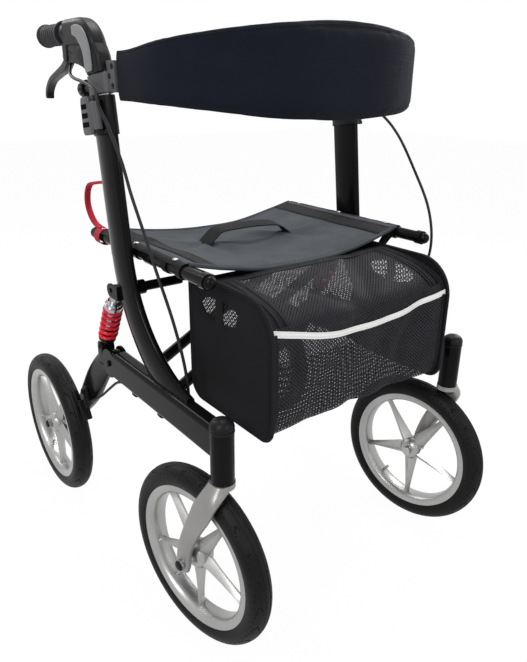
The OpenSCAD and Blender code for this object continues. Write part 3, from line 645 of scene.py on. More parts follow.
@dataclass(frozen=True)
class Reflector(Finish):
    """Bright sewn tape with a fine diamond emboss."""

    def sockets(self, g: Graph) -> dict:
        """Values and links of the shader's inputs.

        Args:
            g: Graph that takes the nodes.

        Returns:
            The inputs by name.
        """
        u, v = g.uv()
        emboss = ((u + v).wave(0.004) * (u - v).wave(0.004)).ramp(-0.2, 0.2)
        return {"Base Color": g.mix(emboss, self.colour, self.shade(0.8)), "Roughness": self.roughness,
                "Normal": g.bump(emboss, 0.0001, 0.5)}


GLOSS_BLACK = Paint("gloss_black_frame", (0.0028, 0.0028, 0.0032), 0.12, coat=0.02, gloss=0.065)
SATIN_BLACK = Moulded("satin_black_plastic", (0.0045, 0.0045, 0.0053), 0.4, gloss=0.14)
BLACK_LEVER = Moulded("black_lever_plastic", (0.007, 0.007, 0.008), 0.34, gloss=0.2)
WARM_GREY = Moulded("grey_moulding", (0.055, 0.056, 0.060), 0.45, bloom=1.15, gloss=0.3)
PALE_GREY = Moulded("pale_grey_insert", (0.15, 0.155, 0.16), 0.5, bloom=1.15, gloss=0.3)
GRIP_RUBBER = Moulded("ribbed_grip_rubber", (0.014, 0.014, 0.016), 0.62, grain=900, depth=0.0001)
CABLE_BLACK = Moulded("cable_sheath", (0.006, 0.006, 0.007), 0.4)
POST_SILVER = Metal("drawn_post_aluminium", (0.45, 0.45, 0.46), 0.3, stretch=0.04)
CAST_SILVER = Metal("cast_fork_silver", (0.28, 0.275, 0.265), 0.38, grain=600, metallic=0.8)
RIM_SILVER = Metal("silvered_rim_casting", (0.39, 0.39, 0.385), 0.36, grain=500, metallic=0.92)
STEEL = Metal("bright_bolt_steel", (0.45, 0.45, 0.46), 0.3, grain=1400)
SHOCK_SILVER = Metal("shock_steel", (0.42, 0.42, 0.44), 0.26, grain=1200, stretch=0.2)
SPRING_RED = Paint("red_spring_enamel", (0.45, 0.005, 0.02), 0.28, coat=0.15, gloss=0.15)
TYRE_BLACK = Tread("tyre_tread_rubber", (0.0045, 0.0045, 0.005), 0.5)
SLATE_CLOTH = Woven("slate_seat_cloth", (0.058, 0.065, 0.075), 0.62)
BLACK_CLOTH = Woven("black_panel_cloth", (0.0042, 0.0042, 0.006), 0.6, pitch=0.0013)
BAND_CLOTH = Woven("night_blue_band_cloth", (0.0048, 0.0062, 0.0122), 0.7, pitch=0.0011)
BLACK_NET = Net("black_net", (0.012, 0.0122, 0.0142), 0.6)
CLOSE_NET = Net("black_close_net", (0.008, 0.008, 0.0095), 0.6, hole=0.86)
BACK_NET = Net("black_back_net", (0.010, 0.010, 0.012), 0.6, pitch=0.0034, hole=0.66)
OPEN_NET = Net("black_open_net", (0.012, 0.0122, 0.0142), 0.6, pitch=0.0078, hole=0.42)
# near-black finish: painted shade for the slots of the height lock
SLOT_SHADE = Moulded("dark_recess", (0.002, 0.002, 0.0022), 0.8, gloss=0.02)
BLACK_TAPE = Webbing("black_webbing", (0.008, 0.008, 0.0095), 0.55)
RED_TAPE = Webbing("red_loop_webbing", (0.42, 0.012, 0.03), 0.5)
BRIGHT_TAPE = Reflector("reflective_tape", (0.72, 0.72, 0.71), 0.4)


def link(name: str, data: bpy.types.ID) -> bpy.types.Object:
    """A new object in the scene.

    Args:
        name: The object's name.
        data: Its mesh, lamp or camera.

    Returns:
        The object.
    """
    obj = bpy.data.objects.new(name, data)
    bpy.context.scene.collection.objects.link(obj)
    return obj


def baked(obj: bpy.types.Object) -> bpy.types.Mesh:
    """The mesh that an object's modifiers make; the modifiers are then cleared.

    Args:
        obj: The object.

    Returns:
        A new mesh.
    """
    made = bpy.data.meshes.new_from_object(obj.evaluated_get(bpy.context.evaluated_depsgraph_get()))
    obj.modifiers.clear()
    return made


def placed(mesh: bpy.types.Mesh, matrix: Matrix) -> bpy.types.Mesh:
    """Moves a mesh, and turns its faces over where the matrix mirrors them.

    Args:
        mesh: The mesh, which is changed.
        matrix: The move.

    Returns:
        The same mesh.
    """
    mesh.transform(matrix)
    if matrix.determinant() < 0:
        mesh.flip_normals()
    return mesh


def emit(name: str, made: Shape | bpy.types.Mesh, finish: Finish, body: str = "",
         replaces: Iterable[str] = (), angle: float = 38.0) -> bpy.types.Object:
    """Puts a piece into the scene.

    Args:
        name: The piece's name.
        made: Its shape or mesh, in place.
        finish: Its finish.
        body: The body that it rides on; left out, the piece rides on none.
        replaces: Nodes that it stands for.
        angle: Edges sharper than this stay sharp, in degrees.

    Returns:
        The object.
    """
    mesh = made.to_mesh(name) if isinstance(made, Shape) else made
    mesh.name = name
    mesh.materials.clear()
    mesh.materials.append(finish.material())
    mesh.shade_smooth()
    mesh.set_sharp_from_angle(angle=math.radians(angle))
    obj = link(name, mesh)
    if body:
        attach(obj, body)
    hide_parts(*replaces)
    LOG.info("%s: %d faces, %s", name, len(mesh.polygons), finish.name)
    return obj


def outward(mesh: bpy.types.Mesh, weld: float = 0.0) -> Shape:
    """Reads a closed mesh with every face turned outward, and removes the mesh.

    Args:
        mesh: The mesh.
        weld: Points nearer than this are joined first, in millimetres; 0 leaves them.

    Returns:
        The shape, with UVs where the mesh has them.
    """
    work = bmesh.new()
    work.from_mesh(mesh)
    if weld:
        bmesh.ops.remove_doubles(work, verts=work.verts, dist=weld * MM)
    bmesh.ops.recalc_face_normals(work, faces=work.faces)
    work.verts.index_update()
    layer = work.loops.layers.uv.active
    uvs = [[tuple(c[layer].uv) for c in f.loops] for f in work.faces] if layer else []
    made = Shape([v.co.copy() for v in work.verts], [tuple(v.index for v in f.verts) for f in work.faces], uvs)
    work.free()
    bpy.data.meshes.remove(mesh)
    return made


def solid(shape: Shape) -> Shape:
    """Turns every face of a closed shape outward.

    Args:
        shape: The shape, which is changed.

    Returns:
        The same shape.
    """
    made = outward(shape.to_mesh("solid"))
    shape.points, shape.faces, shape.uvs = made.points, made.faces, made.uvs
    return shape


def dress(node: str, finish: Finish) -> None:
    """Gives a CAD node that stays its finish.

    Args:
        node: The node's name.
        finish: Its finish.
    """
    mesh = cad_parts[node].data
    mesh.materials.clear()
    mesh.materials.append(finish.material())
    mesh.polygons.foreach_set("material_index", [0] * len(mesh.polygons))
    LOG.info("%s: %s", node, finish.name)


def soften(node: str, finish: Finish, body: str, angle: float = 40.0) -> bpy.types.Object:
    """A welded copy of a faceted CAD node, shaded as one skin, in the node's stead."""
    made = outward(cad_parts[node].data.copy(), 0.02)
    return emit(f"{node}_skin", Shape(made.points, made.faces), finish, body, [node], angle)


def round_off(node: str, finish: Finish, body: str, grid: float = 1.2, rounds: int = 5,
              reshape: Callable[[Vector, Vector], Vector] | None = None) -> bpy.types.Object:
    """A copy of a CAD node with its edges eased as a moulding's are, in the node's stead.

    Args:
        node: The CAD node.
        finish: Its finish.
        body: The body that it rides on.
        grid: Size of the new skin's faces in millimetres.
        rounds: How often the skin is eased.
        reshape: Moves each point, given with its normal, before the skin is drawn.

    Returns:
        The object.
    """
    carrier = link(f"{node}_carrier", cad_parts[node].data.copy())
    if reshape is not None:
        knit = bmesh.new()
        knit.from_mesh(carrier.data)
        bmesh.ops.remove_doubles(knit, verts=knit.verts, dist=0.01 * MM)
        knit.normal_update()
        knit.to_mesh(carrier.data)
        knit.free()
        spots = [reshape(v.co.copy(), v.normal.copy()) for v in carrier.data.vertices]
        for v, spot in zip(carrier.data.vertices, spots):
            v.co = spot
    even = carrier.modifiers.new("even", "REMESH")
    even.mode, even.voxel_size = "VOXEL", grid * MM
    ease = carrier.modifiers.new("ease", "SMOOTH")
    ease.factor, ease.iterations = 0.5, rounds
    made = baked(carrier)
    bpy.data.objects.remove(carrier)
    return emit(f"{node}_skin", made, finish, body, [node], ALL_SMOOTH)


class Repeat:
    """Geometry node trees that repeat a small piece, each baked into one mesh."""

    def __init__(self, name: str, sockets: dict[str, str]) -> None:
        """Starts a tree with a geometry input and these named inputs.

        Args:
            name: The tree's name.
            sockets: Socket types by input name.
        """
        self.tree = bpy.data.node_groups.new(name, "GeometryNodeTree")
        face = self.tree.interface
        face.new_socket("Geometry", in_out="INPUT", socket_type="NodeSocketGeometry")
        self.keys = {k: face.new_socket(k, in_out="INPUT", socket_type=t).identifier for k, t in sockets.items()}
        face.new_socket("Geometry", in_out="OUTPUT", socket_type="NodeSocketGeometry")
        self.graph = Graph(self.tree)
        self.start = self.tree.nodes.new("NodeGroupInput")

    def value(self, name: str) -> Sock:
        """One of the tree's inputs."""
        return Sock(self.graph, self.start.outputs[name])

    def close(self, instances: Sock) -> None:
        """Ends the tree: instances made real, with the material that it is given.

        Args:
            instances: The instances.
        """
        real = self.graph.node("GeometryNodeRealizeInstances", None, {0: instances})
        dressed = self.graph.node("GeometryNodeSetMaterial", None,
                                  {"Geometry": real, "Material": self.value("Material")})
        self.graph.node("NodeGroupOutput", None, {0: dressed})

    def bake(self, name: str, mesh: bpy.types.Mesh, finish: Finish, **values: object) -> bpy.types.Mesh:
        """Runs the tree on a mesh.

        Args:
            name: Name of the new mesh.
            mesh: The mesh that goes in.
            finish: Finish of the result.
            values: The tree's other inputs by name.

        Returns:
            The new mesh; the object that carried the tree is gone.
        """
        carrier = link(f"{name}_carrier", mesh)
        modifier = carrier.modifiers.new(name, "NODES")
        modifier.node_group = self.tree
        for key, value in {"Material": finish.material(), **values}.items():
            modifier[self.keys[key]] = value
        made = baked(carrier)
        bpy.data.objects.remove(carrier)
        return made


class RingRepeat(Repeat):
    """Repeats the mesh that goes in about the X axis."""

    def __init__(self) -> None:
        """Builds the tree."""
        super().__init__("repeat_round_axis", {"Count": "NodeSocketInt", "Material": "NodeSocketMaterial"})
        g, count = self.graph, self.value("Count")
        points = g.node("GeometryNodePoints", None, {"Count": count})
        turn = g.node("GeometryNodeInputIndex") * math.tau
        share = g.node("ShaderNodeMath", {"operation": "DIVIDE"}, {0: turn, 1: count})
        self.close(g.node("GeometryNodeInstanceOnPoints", None, {
            "Points": points, "Instance": self.value("Geometry"),
            "Rotation": g.node("ShaderNodeCombineXYZ", None, {"X": share})}))


class PathRepeat(Repeat):
    """Repeats an object along the lines that go in, its X axis along the line."""

    def __init__(self) -> None:
        """Builds the tree."""
        super().__init__("repeat_along_path", {"Item": "NodeSocketObject", "Pitch": "NodeSocketFloat",
                                               "Jitter": "NodeSocketFloat", "Material": "NodeSocketMaterial"})
        g = self.graph
        line = g.node("GeometryNodeMeshToCurve", None, {"Mesh": self.value("Geometry")})
        even = g.node("GeometryNodeResampleCurve", {"mode": "LENGTH"}, {"Curve": line, "Length": self.value("Pitch")})
        item = g.node("GeometryNodeObjectInfo", None, {"Object": self.value("Item")}, "Geometry")
        facing = g.node("FunctionNodeAlignRotationToVector", {"axis": "X"}, {
            "Vector": g.node("GeometryNodeInputTangent")})
        size = g.node("FunctionNodeRandomValue", {"data_type": "FLOAT"}, {"Seed": 7}, 1)
        grown = 1 + (size - 0.5) * self.value("Jitter")
        self.close(g.node("GeometryNodeInstanceOnPoints", None, {
            "Points": even, "Instance": item, "Rotation": facing,
            "Scale": g.node("ShaderNodeCombineXYZ", None, {"X": grown, "Y": grown, "Z": grown})}))

    def run(self, name: str, paths: Sequence[Sequence[Vector]], item: Shape, pitch: float, finish: Finish,
            jitter: float = 0.0) -> bpy.types.Mesh:
        """Repeats a shape along paths at a pitch in metres and returns the one mesh.

        Args:
            name: Name of the new mesh.
            paths: Lines of points.
            item: The shape to repeat.
            pitch: Step along the lines.
            finish: Finish of the result.
            jitter: How much the copies differ in size.

        Returns:
            The mesh.
        """
        points: list[Vector] = []
        edges: list[tuple[int, int]] = []
        for path in paths:
            base = len(points)
            points += path
            edges += [(base + i, base + i + 1) for i in range(len(path) - 1)]
        mesh = bpy.data.meshes.new(f"{name}_line")
        mesh.from_pydata([tuple(p) for p in points], edges, [])
        sample = bpy.data.objects.new(f"{name}_item", item.to_mesh(f"{name}_item"))
        made = self.bake(name, mesh, finish, Item=sample, Pitch=pitch, Jitter=jitter)
        bpy.data.objects.remove(sample)
        return made


def bead(length: float, width: float, height: float) -> Shape:
    """A soft bar along X, in metres: a stitch, a zip tooth, a weld ripple or a rivet.

    Args:
        length: Size along X.
        width: Size along Y.
        height: Size along Z.

    Returns:
        The closed bar.
    """
    rings = []
    for k in range(7):
        t = -1 + k / 3
        s = math.sqrt(max(1 - t * t, 0.02))
        rings.append([Vector((t * length / 2, a, b)) for a, b in oval_ring(8, width / 2 * s, height / 2 * s)])
    return solid(skin(rings))


@dataclass
class Studio:
    """Floor, lamps, backdrop and the camera at the photograph's angle."""

    eye: Point = (-0.66743, -0.94787, 0.84521)
    yaw: float = 37.784
    pitch: float = 21.809
    roll: float = 0.551
    lens: float = 33.654
    ambient: float = 0.46
    sensor: float = 36.0
    nearest: float = 0.02
    floor_half: float = 9.0
    floor_drop: float = 0.0005
    glow: float = 0.97
    aim: Point = (0.0, 0.0, 0.45)
    lamps: tuple[tuple[str, Point, float, float, float], ...] = (
        ("key", (-1.9, -1.0, 2.1), 0.45, 1.8, 40.0), ("front", (0.5, -2.6, 1.7), 0.5, 1.5, 20.0),
        ("side", (2.2, 0.2, 1.9), 0.5, 1.6, 26.0), ("back", (-0.6, 2.3, 2.2), 0.7, 1.4, 20.0),
        ("top", (0.35, 0.45, 2.7), 0.7, 0.7, 26.0))

    def build(self) -> None:
        """Makes the whole stage."""
        scene = bpy.context.scene
        scene.view_settings.view_transform = "Standard"
        self.camera(scene)
        self.backdrop(scene)
        self.floor()
        for lamp in self.lamps:
            self.lamp(*lamp)
        LOG.info("stage: %d lamps", len(self.lamps))

    def camera(self, scene: bpy.types.Scene) -> None:
        """Camera from the fitted place and angles.

        Args:
            scene: The scene.
        """
        y, p, r = (math.radians(v) for v in (self.yaw, self.pitch, self.roll))
        ahead = Vector((math.sin(y) * math.cos(p), math.cos(y) * math.cos(p), -math.sin(p)))
        right = Vector((math.cos(y), -math.sin(y), 0))
        up = right.cross(ahead)
        right, up = math.cos(r) * right + math.sin(r) * up, math.cos(r) * up - math.sin(r) * right
        data = bpy.data.cameras.new("photo_camera")
        data.lens, data.sensor_width, data.clip_start = self.lens, self.sensor, self.nearest
        cam = link("photo_camera", data)
        turn = Matrix((right, up, -ahead)).transposed().to_4x4()
        cam.matrix_world = Matrix.Translation(self.eye) @ turn
        scene.camera = cam

    def backdrop(self, scene: bpy.types.Scene) -> None:
        """White where the camera sees it, a plain level of light for everything else.

        Args:
            scene: The scene.
        """
        world = bpy.data.worlds.new("plain_sky")
        world.use_nodes = True
        world.node_tree.nodes.clear()
        g = Graph(world.node_tree)
        light = g.node("ShaderNodeBackground", None, {"Color": (1, 1, 1, 1), "Strength": self.ambient})
        white = g.node("ShaderNodeBackground", None, {"Color": (1, 1, 1, 1), "Strength": 1.0})
        g.node("ShaderNodeOutputWorld", None,
               {"Surface": g.node("ShaderNodeMixShader", None, {0: self.seen(g), 1: light, 2: white})})
        scene.world = world

    def seen(self, g: Graph) -> Sock:
        """1 for rays of the camera, of reflections and through clear surfaces, and 0 for light."""
        return sum((g.node("ShaderNodeLightPath", out=f"Is {ray} Ray") for ray in ("Glossy", "Transmission")),
                   g.node("ShaderNodeLightPath", out="Is Camera Ray")).ramp(0, 1)

    def floor(self) -> None:
        """A wide pale floor under the tyres."""
        s = self.floor_half
        corners = [Vector((x, y, -self.floor_drop)) for x, y in ((-s, -s), (s, -s), (s, s), (-s, s))]
        shape = Shape(corners, [(0, 1, 2, 3)])
        floor = emit("floor", shape, Finish("pale_floor", (0.93, 0.93, 0.93), 0.9))
        tree = floor.data.materials[0].node_tree
        end = next(n for n in tree.nodes if n.type == "OUTPUT_MATERIAL")
        g = Graph(tree)
        glow = g.node("ShaderNodeEmission", None, {"Color": (1, 1, 1, 1), "Strength": 1.0})
        plain = Sock(g, end.inputs["Surface"].links[0].from_socket)
        mixed = g.node("ShaderNodeMixShader", None, {0: self.seen(g) * self.glow, 1: plain, 2: glow})
        g.join(end.inputs["Surface"], mixed)

    def lamp(self, name: str, place: Point, wide: float, tall: float, power: float) -> None:
        """An upright soft lamp aimed at the middle of the object.

        Args:
            name: The lamp's name.
            place: Its place in metres.
            wide: Its width.
            tall: Its height.
            power: Its power in watts.
        """
        data = bpy.data.lights.new(name, "AREA")
        data.shape = "RECTANGLE"
        data.size, data.size_y, data.energy = wide, tall, power
        obj = link(name, data)
        obj.location = place
        obj.rotation_mode = "QUATERNION"
        obj.rotation_quaternion = (Vector(self.aim) - Vector(place)).to_track_quat("-Z", "Y")


SIDE_X = 257.0
POST_IN = 3.0
CASTER_TURN = math.radians(8)


def side_place(side: Side, inward: float = 0.0) -> Matrix:
    """From a side frame's own millimetres-in-metres, +X inward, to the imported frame."""
    move = Matrix.Translation(at(side.value * (SIDE_X - inward), 0, 0))
    return move @ Matrix.Diagonal((-side.value, 1, 1, 1))


@dataclass
class Wheels:
    """Four wheels: tyre, rim, spokes and hub, drawn on an axis along X through the origin."""

    rings: RingRepeat
    radius: float = 152.0
    section: float = 20.0
    grooves: tuple[Point, ...] = ((-12.0, 4.2, 1.3), (12.0, 4.2, 1.3), (0.0, 3.0, 0.5))
    shoulder: tuple[float, float] = (18.0, 74.0)
    sipes: int = 22
    sipe_depth: float = 1.9
    sipe_half: float = 1.9
    spokes: int = 5
    front_hub: Point = (0.0, 58.0, 152.0)
    rear_hub: Point = (-36.0, 595.0, 152.0)
    caps_out: tuple[float, float] = (-42.3, -24.2)
    valve_turn: float = 36.0

    def tyre(self) -> Shape:
        """Round tyre with two fine grooves round the crown and curved cuts over the shoulders.

        Returns:
            The shape in metres.
        """
        n, m, mid = 880, 80, self.radius - self.section
        rings = []
        for i in range(n):
            turn = math.tau * i / n
            ring = []
            for j in range(m):
                a = -math.pi + math.tau * j / m
                depth = self.cut(turn, math.degrees(a))
                out = mid + (self.section - depth) * math.cos(a)
                ring.append(Vector(((self.section - depth) * math.sin(a), out * math.sin(turn),
                                    out * math.cos(turn))) * MM)
            rings.append(ring)
        return solid(skin(rings, closed=True))

    def cut(self, turn: float, a: float) -> float:
        """Depth of the tread's cuts in millimetres at a turn and a section angle in degrees.

        Args:
            turn: Angle round the wheel in radians.
            a: Angle from the crown in degrees.

        Returns:
            The depth.
        """
        depth = sum(deep * max(0.0, 1 - ((a - mid) / half) ** 2) for mid, half, deep in self.grooves)
        size, (low, high) = abs(a), self.shoulder
        if low < size < high:
            bow = 0.95 * ((size - 40) / 28) ** 2 + 0.12 * (size - 40) / 28
            share = (turn / math.tau * self.sipes + 0.5 * (a > 0) + bow) % 1 - 0.5
            far = abs(share) * math.tau * self.radius / self.sipes
            fade = min((size - low) / 6, (high - size) / 10, 1.0)
            depth += self.sipe_depth * max(0.0, 1 - (far / self.sipe_half) ** 2) * fade
        return depth

    def rim(self) -> Shape:
        """Rim ring with rolled edges, and the hub.

        Returns:
            The shape in metres.
        """
        ring = [(106, -9), (108.5, -14.5), (112.5, -16.8), (120, -17.2), (122.6, -16.6), (122.8, -15.4), (121, -14),
                (116, -11), (115, 0), (116, 11), (121, 14), (122.8, 15.4), (122.6, 16.6), (120, 17.2), (112.5, 16.8),
                (108.5, 14.5), (106, 9), (105, 0)]
        hub = [(3, -16.8), (13.5, -17), (15, -16.4), (19, -12.5), (22.5, -8), (23, 0), (22.5, 8), (19, 12.5),
               (15, 16.4), (13.5, 17), (3, 16.8)]
        made = lathe(ring, 160, loop=True).add(lathe(hub, 64))
        return solid(made).moved(Matrix.Rotation(math.pi / 2, 4, "Y"))

    def spoke(self) -> Shape:
        """One creased spoke from hub to rim, pointing down.

        Returns:
            The shape in metres.
        """
        stations = [(14, 27, 25), (24, 28, 23), (40, 24, 19), (62, 18.5, 16), (84, 13.5, 14.5), (98, 11, 14.5),
                    (107, 12, 17)]
        rings = []
        for r, across, deep in smooth(stations, 4):
            rings.append([Vector((b, a, -r)) * MM for a, b in oval_ring(16, across / 2, deep / 2, 1.85)])
        return solid(skin(rings))

    def place(self, side: Side, rear: bool) -> Matrix:
        """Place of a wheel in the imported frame.

        Args:
            side: The wheel's side.
            rear: A rear wheel.

        Returns:
            The place.
        """
        hub = Matrix.Translation(Vector(self.rear_hub if rear else self.front_hub) * MM)
        turn = Matrix.Identity(4) if rear else Matrix.Rotation(CASTER_TURN, 4, "Z")
        move = Matrix.Translation(at(side.value * SIDE_X, 0, 0))
        return move @ turn @ Matrix.Diagonal((-side.value, 1, 1, 1)) @ hub

    def build(self) -> None:
        """Dresses the four wheels."""
        tyre, rim, spoke = self.tyre(), self.rim(), self.spoke()
        cap = solid(lathe([(0, 3.4), (5, 3.2), (7.5, 1.8), (8.4, 0), (8.4, -3)], 40))
        valve = round_wire([Vector((0, 0, z)) * MM for z in (-107, -96, -94, -88)], 0.006, 10)
        spokes = self.rings.bake("spokes", spoke.to_mesh("spoke"), RIM_SILVER, Count=self.spokes)
        for side in Side:
            for rear in (False, True):
                where, word = self.place(side, rear), "rear" if rear else "front"
                body = side.node(f"{word}_wheel")
                emit(f"{body}_tyre_tread", tyre.moved(where), TYRE_BLACK, body, [side.node(f"{word}_tyre")])
                emit(f"{body}_rim_ring", rim.moved(where), RIM_SILVER, body, [side.node(f"{word}_rim")])
                emit(f"{body}_spokes", placed(spokes.copy(), where), RIM_SILVER, body, angle=50)
                tilt = Matrix.Rotation(math.radians(self.valve_turn), 4, "X")
                emit(f"{body}_valve", valve.moved(where @ tilt), RIM_SILVER, body)
                outer = Matrix.Translation(Vector((self.caps_out[rear], 0, 0)) * MM)
                face = where @ outer @ Matrix.Rotation(-math.pi / 2, 4, "Y")
                holder = side.node("arm") if rear else side.node("caster")
                emit(f"{body}_axle_cap", cap.moved(face), SATIN_BLACK, holder)
        for side in Side:
            for name in ("front_axle", "rear_axle"):
                dress(side.node(name), STEEL)
            soften(side.node("fork"), CAST_SILVER, side.node("caster"), 34)


@dataclass
class Chassis:
    """Beams, uprights, braces, rails, swing arms and brake shoes, with welds, domes and cable clips."""

    trail: PathRepeat
    bend: tuple[float, float, float] = (46.0, 620.0, 241.0)
    beam_top: float = 405.5
    weld_run: tuple[float, float, int] = (96.0, 206.25, 46)
    clips: tuple[float, ...] = (172.0, 262.0)
    clip_z: float = 347.5
    arm: tuple[tuple[float, float], ...] = ((340.0, 379.0), (595.0, 152.0))
    arm_more: float = 4.0
    shoe_out: float = 33.0

    def weld(self) -> list[list[Vector]]:
        """Lines where the upright's tube meets the top of the beam, one on each face.

        Returns:
            Two lines in the side frame's own axes.
        """
        y0, z0, r0 = self.bend
        lines = []
        for face in (-1, 1):
            line = []
            for y in np.linspace(*self.weld_run):
                share = (math.hypot(y - y0, z0 - self.beam_top) - r0) / 30
                half = 10.5 * max(1 - share * share, 0.0) ** 0.6
                line.append(Vector((POST_IN + face * (half + 0.2), y, self.beam_top + 0.3)) * MM)
            lines.append(line)
        return lines

    def cap(self) -> Shape:
        """Rubber dome of the head tube, with its lip and groove."""
        return solid(lathe([(0.4, 0.1), (17.5, 0.1), (18.2, 0.8), (18.2, 3.4), (17.0, 4.2), (16.9, 5.4), (18.0, 6.4),
                            (17.9, 9.5), (16.6, 13.6), (14, 16.8), (10, 19.2), (5, 20.6), (0.4, 20.9)], 72))

    def clip(self, y: float) -> Shape:
        """A small saddle that holds the brake cable under the beam.

        Args:
            y: Place along the beam in millimetres.

        Returns:
            The shape in metres.
        """
        hoop = [Vector((7 * math.cos(t), y, self.clip_z + 5.0 * math.sin(t))) * MM
                for t in np.linspace(-math.pi, 0, 13)]
        rise = Vector((0, 0, 0.0052))
        hoop = [hoop[0] + rise, *hoop, hoop[-1] + rise]
        return solid(flat_tape(hoop, 0.009, 0.0018, Vector((0, 1, 0))))

    def narrow(self, point: Vector, _: Vector) -> Vector:
        """Keeps a brake shoe to the inner half of its tyre."""
        far = (SIDE_X + self.shoe_out) * MM
        return Vector((math.copysign(min(abs(point.x), far), point.x), point.y, point.z))

    def stout(self, point: Vector, normal: Vector) -> Vector:
        """Fills out a swing arm below its shock's clevis.

        Args:
            point: A point of the arm.
            normal: Its normal.

        Returns:
            The point's new place.
        """
        (ay, az), (by, bz) = self.arm
        low = at(0, by, bz) - at(0, ay, az)
        share = (point - at(point.x / MM, ay, az)).dot(low) / low.dot(low)
        more = math.sin(math.pi * clamp((share - 0.1) / 0.7)) ** 2
        return point + normal * (self.arm_more * more * MM)

    def build(self) -> None:
        """Dresses the metal."""
        ripple, cap = bead(0.0056, 0.0052, 0.0036), self.cap()
        for side in Side:
            body = side.node("frame")
            for name in ("lower_beam", "upright"):
                dress(side.node(name), GLOSS_BLACK)
            round_off(side.node("height_collar"), SATIN_BLACK, body)
            where = side_place(side)
            foot = Vector((0, 0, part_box(side.node("head_cap"))[1][2] - 0.021))
            dome = cap.moved(where @ Matrix.Translation(foot))
            emit(side.node("head_dome"), dome, SATIN_BLACK, body, [side.node("head_cap")])
            mesh = self.trail.run(f"{body}_weld", self.weld(), ripple, 0.0034, GLOSS_BLACK, 0.4)
            emit(f"{body}_weld", placed(mesh, where), GLOSS_BLACK, body)
            for k, y in enumerate(self.clips):
                emit(f"{body}_cable_clip_{k + 1}", self.clip(y).moved(where), SATIN_BLACK, body)
            dress(side.node("seat_rail"), GLOSS_BLACK)
            round_off(side.node("brake_shoe"), SATIN_BLACK, side.node("shoe"), 1.3, 6, self.narrow)
            round_off(side.node("swing_arm"), GLOSS_BLACK, side.node("arm"), 1.5, 9, self.stout)
        for name in ("cross_brace_a", "cross_brace_b"):
            dress(name, GLOSS_BLACK)
        dress("cross_bolt", STEEL)


@dataclass
class Shocks:
    """Shock absorbers with their red coils."""

    top: Point = (0.0, 310.0, 523.0)
    axis: Point = (0.0, -0.48326, 0.87547)
    coil: float = 14.2
    wire: float = 6.4
    turns: float = 6.0
    turn_steps: int = 28
    ends: tuple[float, float] = (-113.5, -46.5)
    seat: float = -44.0
    kept: float = 0.932

    def spring(self) -> Shape:
        """The coil with a closed turn at each end.

        Returns:
            The shape in metres.
        """
        up = Vector(self.axis)
        out = Vector((1, 0, 0))
        back = up.cross(out)
        low, high = self.ends
        path = []
        steps = int(self.turns * self.turn_steps)
        for k in range(steps + 1):
            t = k / steps
            a = math.tau * self.turns * t
            rise = low + (high - low) * clamp((t - 0.06) / 0.88)
            path.append((Vector(self.top) + up * rise + (out * math.cos(a) + back * math.sin(a)) * self.coil) * MM)
        return solid(round_wire(path, self.wire * MM, 12))

    def build(self) -> None:
        """Dresses both shocks."""
        coil = self.spring()
        for side in Side:
            dress(side.node("shock_body"), SHOCK_SILVER)
            dress(side.node("shock_rod"), SATIN_BLACK)
            where = side_place(side)
            made = emit(side.node("coil"), coil.moved(where), SPRING_RED, side.node("frame"),
                        [side.node("spring")])
            side.node("suspension")
            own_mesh(made)


